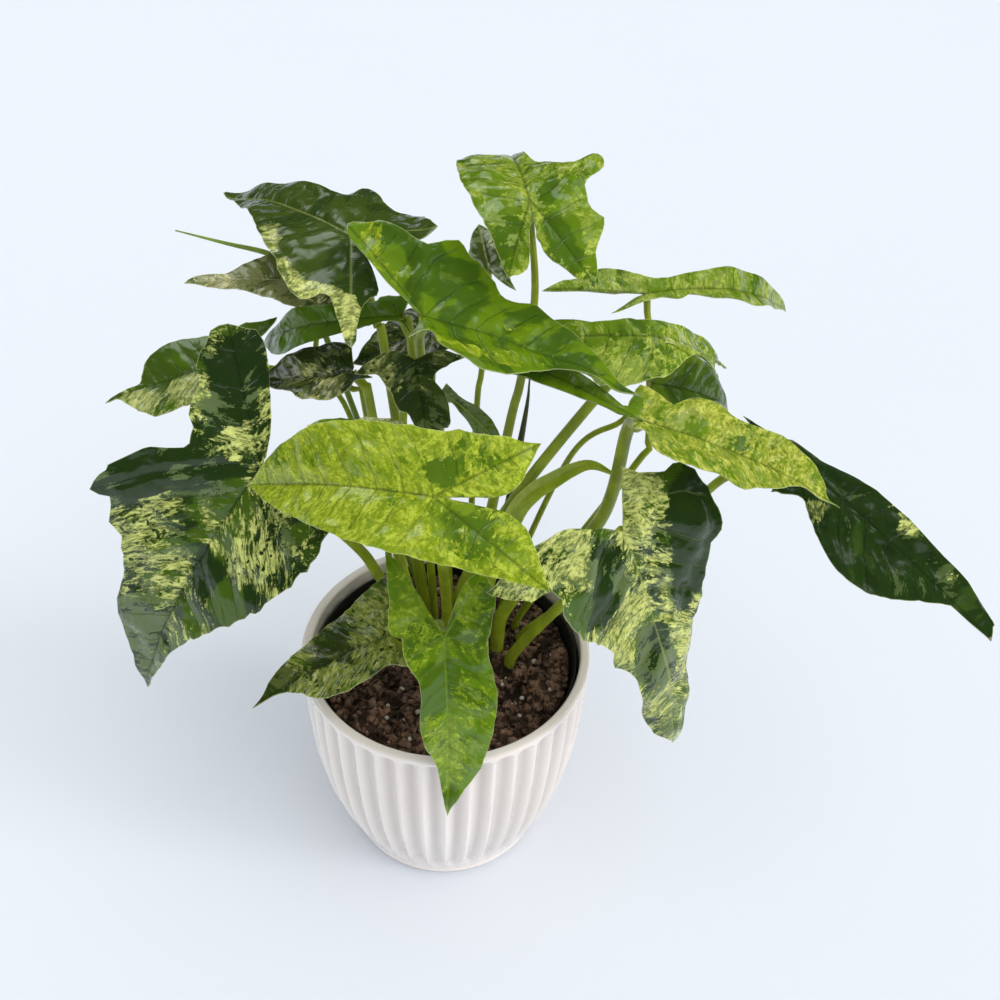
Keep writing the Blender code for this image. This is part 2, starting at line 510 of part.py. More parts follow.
def make_leaf(name, leaf, mat, parent):
    """A thin closed blade: the same triangles on its upper and lower faces, joined round the edge."""
    axes = leaf_frame(leaf)
    left = half_outline(leaf["length"], leaf["left"], leaf["left_notch"], 1)
    right = half_outline(leaf["length"], leaf["right"], leaf["right_notch"], -1)
    angles = np.concatenate([right[0][::-1], left[0][1:]])
    reaches = np.concatenate([right[1][::-1], left[1][1:]])
    rays = len(angles)
    middle = [blade_point(leaf, axes, 0.0, 0.0)]
    for ring in RINGS[1:]:
        middle += [blade_point(leaf, axes, a, r * ring) for a, r in zip(angles, reaches)]
    middle = np.array(middle)

    faces = []
    for i in range(rays - 1):
        faces.append((0, 1 + i, 2 + i))
        for ring in range(len(RINGS) - 2):
            a = 1 + ring * rays + i
            b, c, d = a + 1, a + rays, a + rays + 1
            faces += [(a, c, d), (a, d, b)] if i < rays // 2 else [(a, c, b), (b, c, d)]
    faces = np.array(faces)
    cross = np.cross(middle[faces[:, 1]] - middle[faces[:, 0]], middle[faces[:, 2]] - middle[faces[:, 0]])
    normals = np.zeros_like(middle)
    for corner in range(3):
        np.add.at(normals, faces[:, corner], cross)
    normals /= np.linalg.norm(normals, axis=1)[:, None]
    top, bottom = middle + normals * BLADE / 2, middle - normals * BLADE / 2

    count = len(middle)
    rim = [0] + [1 + ring * rays for ring in range(len(RINGS) - 1)]
    rim += [1 + (len(RINGS) - 2) * rays + i for i in range(1, rays)]
    rim += [ring * rays for ring in range(len(RINGS) - 2, 0, -1)]
    shell = [tuple(f) for f in faces.tolist()] + [(f[0] + count, f[2] + count, f[1] + count)
                                                 for f in faces.tolist()]
    for a, b in zip(rim, rim[1:] + rim[:1]):
        shell += [(b, a, a + count), (b, a + count, b + count)]
    return add_object(name, np.vstack([top, bottom]).tolist(), shell, mat, parent)


def tube(points, radii, sides, flatten=1.0):
    """A round tube along the points, its section carried without twist, with flat ends."""
    pts = [Vector(p) for p in points]
    verts, faces, across = [], [], None
    for i, p in enumerate(pts):
        ahead = (pts[min(i + 1, len(pts) - 1)] - pts[max(i - 1, 0)]).normalized()
        if i == 0:
            ahead = Vector((0, 0, 1)) if abs(ahead.z) > 0.9 else ahead
        if across is None:
            across = Vector((1, 0, 0))
        across = (across - ahead * across.dot(ahead)).normalized()
        other = ahead.cross(across)
        for k in range(sides):
            angle = 2 * math.pi * k / sides
            offset = across * math.cos(angle) + other * math.sin(angle) * flatten
            verts.append(tuple(p + offset * radii[i]))
    for i in range(len(pts) - 1):
        for k in range(sides):
            a, b = i * sides + k, i * sides + (k + 1) % sides
            faces.append((a, b, b + sides, a + sides))
    faces.append(tuple(range(sides))[::-1])
    faces.append(tuple((len(pts) - 1) * sides + k for k in range(sides)))
    return verts, faces


def stalk_line(leaf, stalk):
    """The stalk's centre line: straight up out of its hole, past its way points, to under the seat."""
    x, y = stalk["base"]
    along, _, up = leaf_frame(leaf)
    seat = np.array(leaf["seat"], float)
    way = [np.array(p, float) for p in stalk["past"]]
    start = np.array([x, y, SOIL_TOP + 4.0])
    came = seat - (way[-1] if way else start)
    came /= np.linalg.norm(came)
    lean = max(0.0, 0.55 - came.dot(up))
    arrive = came + up * lean
    arrive /= np.linalg.norm(arrive)
    tilt = math.sqrt(max(0.0, 1 - arrive.dot(up) ** 2))
    end = seat - up * (BLADE / 2 + stalk["stand_off"] + stalk["radius_top"] * tilt)
    before = end - arrive * 9.0
    above = smooth_run([start, *way, before, end], STALK_STEPS, lead=start - np.array([0, 0, 40.0]))
    return np.vstack([[(x, y, SOIL_TOP - HOLE_DEPTH + 1.0)], above])


def make_stalk(name, leaf, stalk, mat, parent):
    line = stalk_line(leaf, stalk)
    radii = np.linspace(stalk["radius_base"], stalk["radius_top"], len(line))
    verts, faces = tube(line, radii, STALK_SIDES)
    return add_object(name, verts, faces, mat, parent)


def make_spear(name, spear, mat, parent):
    """A rolled young leaf: a stalk that swells where the blade is rolled and ends in a point."""
    foot, *above = spear["line"]
    line = smooth_run(above, 12, lead=foot)
    line = np.vstack([[foot], line])
    share = np.linspace(0, 1, len(line))
    radii = np.interp(share, [0, spear["swell_at"], spear["swell_at"] + 0.12, 0.85, 1.0],
                      [spear["radius"], spear["radius"], spear["swell"], spear["swell"] * 0.7, 0.35])
    verts, faces = tube(line, radii, 7, spear["flatten"])
    return add_object(name, verts, faces, mat, parent)


def main():
    clear_scene()
    plant = bpy.data.objects.new("potted_plant", None)
    bpy.context.scene.collection.objects.link(plant)
    make_pot(plant)
    make_nursery_pot(plant)
    bases = [(*stalk["base"], stalk["radius_base"]) for stalk in STALKS.values()]
    bases += [(spear["line"][0][0], spear["line"][0][1], spear["radius"]) for spear in SPEARS.values()]
    make_soil(plant, bases)
    blades = {
        "lime": material("leaf_lime", (0.28, 0.42, 0.03), 0.33),
        "green": material("leaf_green", (0.09, 0.22, 0.02), 0.3),
        "dark": material("leaf_dark", (0.03, 0.09, 0.015), 0.28),
    }
    stalk_green = material("stalk_green", (0.12, 0.2, 0.03), 0.4)
    for name, leaf in LEAVES.items():
        make_leaf("leaf_" + name, leaf, blades[leaf["tone"]], plant)
        if name in STALKS:
            make_stalk("stalk_" + name, leaf, STALKS[name], stalk_green, plant)
    for name, spear in SPEARS.items():
        make_spear(name, spear, stalk_green, plant)


main()
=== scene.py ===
"""The looks of the potted arrowhead plant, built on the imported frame: fine leaf blades with their veins,
puckers and marbling, the leaf stalks, the fluted glazed pot, the black nursery pot and the soil.

Lengths in the tables are millimetres and angles are degrees, as in the part's source. +Z is up, the
pot stands on Z = 0 with its axis on Z, and the front of the plant faces -Y.
"""

import math

import bmesh
import bpy
import numpy as np
from mathutils import Matrix, Vector


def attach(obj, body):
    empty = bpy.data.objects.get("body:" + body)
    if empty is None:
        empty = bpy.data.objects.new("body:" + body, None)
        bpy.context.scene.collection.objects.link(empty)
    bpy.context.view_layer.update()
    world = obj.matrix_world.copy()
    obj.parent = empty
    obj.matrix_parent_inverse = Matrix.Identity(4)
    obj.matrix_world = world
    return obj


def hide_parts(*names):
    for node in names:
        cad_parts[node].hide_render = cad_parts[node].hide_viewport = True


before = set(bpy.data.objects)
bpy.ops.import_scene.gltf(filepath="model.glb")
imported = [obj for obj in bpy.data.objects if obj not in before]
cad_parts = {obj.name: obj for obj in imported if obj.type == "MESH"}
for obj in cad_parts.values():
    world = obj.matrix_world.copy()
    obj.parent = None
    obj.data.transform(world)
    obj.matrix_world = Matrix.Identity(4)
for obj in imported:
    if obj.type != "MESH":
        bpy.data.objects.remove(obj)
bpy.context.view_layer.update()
MM = 0.001

# Cover pot
POT_HEIGHT = 123.0
POT_WALL = 4.6
FLUTES = 40
FLUTE_DEPTH = 1.7
LIP_RADIUS = 70.3
LIP_INNER_RADIUS = 65.4
# (height, outer radius) from the foot to just under the lip
POT_SIDE = ((0.0, 46.5), (1.6, 48.6), (6.0, 50.3), (16.0, 54.6), (30.0, 59.8), (50.0, 64.9),
            (72.0, 67.9), (95.0, 69.6), (115.0, 70.2))
POT_FLOOR = 6.0

# Nursery pot and soil
NURSERY_TOP = 116.5
NURSERY_RADIUS_TOP = 64.2
NURSERY_RADIUS_FOOT = 40.0
NURSERY_WALL = 1.2
SOIL_TOP = 111.5
SOIL_RADIUS_TOP = 60.6
SOIL_RADIUS_FOOT = 38.0
GAP = 0.35

# Leaves
BLADE = 0.8

# Directions round the leaf, from its tip, at which rise and droop are given
AROUND = (0, 25, 65, 105, 145, 180)


def blade(tone, seat, turn, left, right, **sizes):
    """A blade's tone, where its stalk meets it, its heading, pitch and roll, and its length, fold and droop.
    Each half is its rises and droops over AROUND, its margin as (along the midrib, out from it) from after
    the tip to the lobe's tip, and its notch from there back to the seat."""
    whole = dict(tone=tone, seat=seat, turn=turn, **sizes)
    for side, (rise, droop, margin, notch) in (("left", left), ("right", right)):
        whole.update({"rise_" + side: rise, "droop_" + side: droop, side: margin, side + "_notch": notch})
    return whole


LEAVES = {
    "front": blade(
        "lime", (-5, -62, 275), (173, 5, -39), length=93, fold=8, droop=-62,
        left=((6, 4, 2), (-20, -23), ((71, 9), (36, 19), (9, 23), (-48, 28)),
            ((-33, 4), (-7, 0), (-4, 0))),
        right=((5, 5, 1), (-20, -24), ((63, -19), (37, -25), (4, -25), (-10, -26), (-37, -27)),
            ((-28, -6), (-8, -2), (-4, -1)))),
    "front_drop": blade(
        "lime", (-1, -52, 187), (277, -59, -6), length=92, fold=6, droop=-23,
        left=((5, 5, 6), (-20, -22), ((84, 3), (64, 14), (35, 21), (22, 21), (11, 19), (3, 19), (-14, 23),
            (-27, 19)), ((-24, 12), (-16, 6), (-7, 3), (-3, 1))),
        right=((7, 3, -2), (-20, -26), ((83, -3), (74, -3), (59, -6), (45, -12), (21, -12), (15, -14),
            (10, -17), (3, -18), (-1, -18), (-5, -23), (-18, -22), (-38, -22)),
            ((-32, -16), (-6, -3), (-3, -2)))),
    "low_left": blade(
        "dark", (-26, -28, 161), (196, -12, -5), length=72, fold=3, droop=-27,
        left=((12, 5, 0), (-18, -25), ((54, 3), (38, 17), (27, 21), (18, 21), (11, 20), (4, 16),
            (-6, 21)), ((-3, 12), (-1, 3))),
        right=((7, 16, 1), (-17, -21), ((55, -8), (27, -17), (15, -20), (4, -26), (-4, -28), (-9, -30),
            (-12, -26)), ((-4, -7), (-2, -3)))),
    "left_large": blade(
        "dark", (-77, -8, 243), (216, -42, -26), length=145, fold=6, droop=-48,
        left=((6, 4, 0), (-19, -25), ((106, 8), (88, 14), (56, 32), (38, 39), (25, 42), (18, 43), (4, 41),
            (-18, 32)), ((-16, 21), (-9, 9), (-3, 3))),
        right=((20, 11, 3), (-11, -19), ((131, -6), (99, -24), (78, -27), (63, -34), (61, -40), (51, -43),
            (54, -51), (51, -53), (41, -51), (24, -43), (13, -30), (9, -29), (-1, -38), (-12, -42),
            (-19, -49), (-29, -51), (-39, -49)),
            ((-42, -39), (-41, -30), (-20, -10), (-10, -4), (-4, -2)))),
    "left_back": blade(
        "dark", (-96, 44, 259), (179, -19, -24), length=64, fold=4, droop=-11,
        left=((6, 5, 1), (-19, -24), ((57, 1), (38, 16), (28, 18), (8, 16), (-12, 16)),
            ((-8, 8), (-4, 3))),
        right=((3, 3, 3), (-21, -23), ((60, -2), (51, -1), (44, -3), (40, -12), (31, -17), (18, -18),
            (0, -16), (-24, -17)), ((-21, -13), (-5, -2), (-3, -1)))),
    "middle_left": blade(
        "green", (-19, 24, 297), (171, -9, -46), length=98, fold=4, droop=-66,
        left=((5, 4, 0), (-20, -25), ((78, 9), (64, 11), (57, 9), (44, 8), (37, 5), (29, 3), (3, 2),
            (-5, 8)), ((-3, 4), (-2, 3))),
        right=((5, 4, 0), (-20, -25), ((82, -3), (61, -8), (52, -9), (16, -6), (7, -8), (1, -8),
            (-5, -9)), ((-3, -5), (-2, -3)))),
    "centre": blade(
        "green", (-9, -2, 314), (-15, -5, 5), length=89, fold=3, droop=-18,
        left=((11, 41, 18), (-15, -6), ((51, 16), (44, 21), (38, 23), (27, 22), (15, 32), (9, 33),
            (3, 35), (-6, 29), (-11, 28), (-24, 32), (-38, 30), (-42, 28)),
            ((-38, 22), (-16, 7), (-7, 2), (-3, 1))),
        right=((26, 5, 0), (-21, -25), ((54, -7), (40, -21), (30, -30), (25, -30), (20, -29), (13, -25),
            (8, -17), (-1, -17)), ((0, -10), (0, -4)))),
    "right_upper": blade(
        "lime", (83, 8, 299), (181, 5, -24), length=81, fold=2, droop=-37,
        left=((-7, 2, -18), (-22, -41), ((52, 9), (48, 13), (29, 17), (24, 21), (20, 22), (9, 21),
            (0, 18), (-7, 15), (-22, 1), (-40, 2)), ((-11, 1), (-4, 0))),
        right=((4, 3, -22), (-20, -61), ((45, -9), (28, -6), (11, -8), (3, -7), (-22, -15), (-33, -18),
            (-45, -16), (-42, -3), (-49, -3)), ((-12, -1), (-4, 0)))),
    "right_long": blade(
        "lime", (76, -25, 282), (-8, -12, 12), length=94, fold=4, droop=-26,
        left=((5, 4, 8), (-20, -19), ((87, 1), (84, 8), (71, 16), (40, 17), (33, 20), (23, 20), (18, 18),
            (12, 12), (-2, 18), (-5, 11), (-7, 5), (-12, 6), (-19, 9.5), (-27, 12.5), (-36, 13),
            (-45, 10.5), (-54, 7.5), (-61, 4)), ((-40, 2), (-16, 1), (-4, 0.3))),
        right=((6, 4, 0), (-20, -25), ((82, -2), (73, -2), (52, -13), (43, -17), (31, -15), (17, -17),
            (10, -15), (5, -12), (2, -5), (-3, -4)), ((-4, -2),))),
    "far_right": blade(
        "dark", (145, -5, 247), (-38, -17, 25), length=117, fold=1, droop=-29,
        left=((4, 4, -29), (-20, -31), ((113, 9), (108, 11), (43, 13), (31, 12), (2, 7), (-35, 14)),
            ((-8, 0), (-4, 0))),
        right=((4, 4, 0), (-21, -25), ((104, -2), (93, -2), (70, -19), (60, -25), (48, -27), (40, -25),
            (29, -19), (22, -13), (14, -11), (3, -18)), ((0, -5),))),
    "right_low": blade(
        "dark", (70, -46, 243), (318, -57, 16), length=123, fold=-7, droop=-33,
        left=((13, 6, -27), (-16, -28), ((124, 0), (126, 11), (106, 12), (70, 18), (62, 20), (55, 26),
            (38, 30), (27, 35), (23, 39), (12, 43), (-5, 41), (-12, 35), (-12, 27), (-17, 19), (-21, 18)),
            ((-5, 4), (-3, 2))),
        right=((3, 2, 0), (-21, -25), ((108, -12), (69, -14), (59, -21), (50, -20), (35, -31), (22, -37),
            (11, -37), (5, -39), (5, -48), (-1, -56), (-7, -62)), ((-14, -27), (-5, -9), (-2, -3)))),
    "top": blade(
        "lime", (31, 20, 352), (99, 11, -9), length=82, fold=5, droop=-60,
        left=((5, -10, -30), (-49, -34), ((51, 7), (53, 13), (53, 19), (56, 23), (37, 24), (18, 23),
            (-9, 18), (-19, 18), (-25, 17)), ((-25, 8), (-21, 6), (-17, 11), (-2, 3))),
        right=((7, -5, -30), (-39, -32), ((60, -5), (34, -5), (24, -12), (18, -22), (20, -31), (12, -31),
            (6, -23), (-3, -22), (-7, -24), (-9, -27), (-13, -27), (-20, -24), (-29, -24), (-34, -23)),
            ((-30, -14), (-25, -6), (-19, -1), (-6, 0), (-4, 0)))),
    "back_right": blade(
        "lime", (88, 62, 285), (18, -1, 28), length=102, fold=7, droop=-51,
        left=((4, 6, 5), (-20, -23), ((98, 6), (69, 10), (53, 11), (34, 9), (13, 6), (3, 7), (-12, 14),
            (-19, 15), (-30, 12), (-38, 12), (-47, 9)), ((-36, 7), (-25, 6), (-8, 1), (-4, 0))),
        right=((5, 5, 7), (-20, -22), ((61, -8), (58, -4), (47, -2), (23, -2), (15, -5), (4, -3),
            (-21, -8)), ((-8, -2), (-4, -1)))),
    "upper_left": blade(
        "dark", (-39, 44, 322), (132, -2, -9), length=102, fold=5, droop=-24,
        left=((2, -11, -13), (-23, -36), ((69, 9), (51, 15), (30, 24), (19, 27), (5, 33), (-5, 35),
            (-13, 27), (-19, 28), (-34, 36), (-38, 36)),
            ((-37, 32), (-32, 27), (-27, 18), (-28, 11), (-17, 4), (-6, 1), (-4, 0))),
        right=((-3, 3, 12), (-22, -20), ((105, -6), (72, -12), (61, -15), (43, -15), (28, -20), (27, -30),
            (4, -24), (-3, -27), (-13, -27), (-31, -21)), ((-30, -12), (-22, -6), (-10, -2), (-4, -1)))),
    "back_left": blade(
        "green", (-54, 71, 282), (178, 8, -3), length=63, fold=5, droop=-20,
        left=((4, 2, -1), (-21, -27), ((55, 3), (46, 8), (11, 19), (1, 18), (-14, 19)),
            ((-10, 9), (-3, 2))),
        right=((9, 9, 0), (-17, -23), ((61, -3), (57, -5), (48, -4), (42, -6), (35, -11), (14, -24),
            (-4, -25)), ((-3, -10), (-1, -3)))),
    "left_marbled": blade(
        "dark", (-40, 21, 271), (171, -14, -6), length=46, fold=5, droop=-4,
        left=((1, 12, 26), (-22, -15), ((35, 4), (22, 13), (16, 15), (8, 15), (-2, 13), (-5, 11),
            (-14, 13)), ((-8, 7), (-3, 2))),
        right=((7, 5, 0), (-19, -25), ((32, -13), (21, -18), (10, -19), (3, -18)), ((1, -8), (0, -4)))),
    "middle_hanging": blade(
        "dark", (-13, 6, 288), (284, -47, 3), length=81, fold=4, droop=-31,
        left=((5, 4, 0), (-20, -25), ((35, 4), (28, 10), (16, 10), (8, 6), (4, 13), (2, 20)),
            ((-2, 13), (-2, 6), (-1, 3))),
        right=((4, 3, 0), (-21, -25), ((28, -4), (19, -10), (11, -12), (4, -16), (3, -21), (2, -25)),
            ((-3, -17), (-5, -8), (-2, -3)))),
    "back_small": blade(
        "green", (18, 68, 293), (100, 19, -12), length=29, fold=4, droop=-17,
        left=((5, 4, 0), (-20, -25), ((24, 3), (11, 7), (-7, 7), (-15, 5)), ((-7, 2), (-3, 1))),
        right=((5, 4, 8), (-20, -18), ((25, -3), (15, -5), (-15, -9)), ((-11, -5), (-6, -2), (-3, -1)))),
    "middle_under": blade(
        "green", (-3, 54, 236), (339, -25, 3), length=45, fold=4, droop=-35,
        left=((5, 4, 0), (-20, -25), ((40, 3), (26, 7), (17, 6), (8, 4), (0, 6)), ((0, 3),)),
        right=((5, 4, 0), (-20, -25), ((36, -7), (26, -7), (16, -3), (8, -2), (1, -9)), ((0, -4),))),
    "behind_front": blade(
        "dark", (-30, -5, 258), (173, 7, -13), length=28, fold=3, droop=-6,
        left=((4, 3, -2), (-21, -27), ((22, 5), (10, 11), (-9, 11)), ((-5, 5), (-3, 3))),
        right=((4, 6, 7), (-20, -19), ((24, -3), (17, -5), (10, -6), (3, -9), (-11, -9)),
            ((-6, -4), (-3, -2)))),
    "right_dark": blade(
        "dark", (89, 28, 261), (11, -15, 35), length=58, fold=6, droop=-46,
        left=((7, 5, 0), (-18, -25), ((31, 15), (20, 18), (10, 17), (0, 15)), ((-1, 7), (0, 4))),
        right=((6, 5, 0), (-20, -25), ((30, -11), (14, -16), (0, -14)), ((-2, -7), (-1, -4)))),
    "inner_marbled": blade(
        "dark", (-6, 68, 262), (192, -16, -10), length=42, fold=5, droop=-15,
        left=((6, 4, 0), (-18, -20), ((32, 9), (18, 15), (4, 16), (-6, 14)), ((-4, 5), (-2, 2))),
        right=((6, 4, 0), (-18, -20), ((30, -8), (16, -14), (2, -15), (-8, -12)), ((-5, -5), (-2, -2)))),
}

# Each leaf stalk: its place in the soil, its radius there and at the blade, and the points it passes
STALKS = {
    "front": ((0, 8), 2.8, 1.8, ((0, -6, 161),)),
    "right_upper": ((8, 16), 2.9, 2.2, ((7, 14, 147), (28, 13, 202), (60, 11, 262))),
    "right_long": ((25, 7), 3.4, 2.7, ((31, 7, 147), (68, 5, 199), (74, -7, 263))),
    "top": ((12, 27), 3.2, 1.2, ((27, 23, 239), (31, 22, 265), (35, 21, 307))),
    "back_right": ((35, 22), 1.9, 1.5, ((87, 34, 209), (93, 40, 220), (90, 59, 268))),
    "back_small": ((11, 45), 1.7, 1.3, ((14, 62, 221), (16, 66, 240))),
    "upper_left": ((-12, 36), 2.6, 1.9, ((-27, 42, 266), (-30, 44, 279))),
    "middle_left": ((-6, 27), 2, 1.7, ((-15, 24, 282),)),
    "centre": ((2, 18), 2.4, 1.8, ((-3, 20, 212), (-11, 20, 281))),
    "left_marbled": ((-18, 18), 2.4, 2, ((-32, 19, 248), (-34, 19, 265))),
    "left_back": ((-25, 27), 1.6, 1.3, ((-36, 36, 236), (-42, 40, 248), (-70, 50, 250))),
    "back_left": ((-19, 37), 1.4, 1.2, ((-45, 48, 228), (-60, 60, 235), (-60, 68, 252))),
    "left_large": ((-12, 9), 2.8, 2.2, ((-32, 11, 160), (-42, 8, 183))),
    "low_left": ((-15, -4), 2.3, 1.8, ()),
    "front_drop": ((3, -9), 2.4, 1.8, ((-3, -30, 170),)),
    "right_low": ((31, -3), 2.8, 2, ((58, -16, 178),)),
    "far_right": ((37, 12), 2.4, 1.9, ((90, 6, 175), (118, 2, 227))),
    "middle_hanging": ((-9, 21), 2, 1.6, ((-19, 22, 234),)),
    "middle_under": ((2, 48), 1.4, 1.2, ()),
    "behind_front": ((-8, 0), 1.5, 1.2, ((-20, 4, 177),)),
    "right_dark": ((28, 33), 1.6, 1.3, ((56, 34, 213), (78, 32, 237))),
    "inner_marbled": ((-8, 54), 1.6, 1.3, ((-8, 62, 200),)),
}

# Rolled and folded young leaves, and an old leaf's stub, drawn along a line from in the soil
SPEARS = {
    "rolled_leaf_back": dict(
        line=((-14, 46, 99.5), (-14, 46, 115.5), (-67, 90, 275), (-80, 94, 283), (-101, 97, 287),
              (-123, 99, 292)),
        radius=1.5, swell=1.7, swell_at=0.62, flatten=1.0),
    "young_leaf": dict(
        line=((15, 4, 99.5), (15, 4, 115.5), (22, 5, 170), (30, 5, 204), (38, 5, 218), (46, 5, 225),
              (54, 5, 231), (63, 5, 234), (75, 4, 228)),
        radius=1.9, swell=4.4, swell_at=0.42, flatten=0.35),
    "old_stalk": dict(
        line=((21, 32, 99.5), (21, 32, 115.5), (34, 32, 232), (36, 34, 260)),
        radius=1.7, swell=1.7, swell_at=0.6, flatten=1.0),
}

# Linear colours
LIME = (0.27, 0.37, 0.008)
GREEN = (0.070, 0.145, 0.003)
BRIGHT_GREEN = (0.125, 0.225, 0.004)
DARK = (0.016, 0.040, 0.005)
OLIVE = (0.050, 0.080, 0.008)
CREAM = (0.56, 0.60, 0.17)
PALE_CREAM = (0.72, 0.74, 0.38)
GREY_GREEN = (0.135, 0.190, 0.065)
UNDERSIDE = (0.15, 0.20, 0.06)

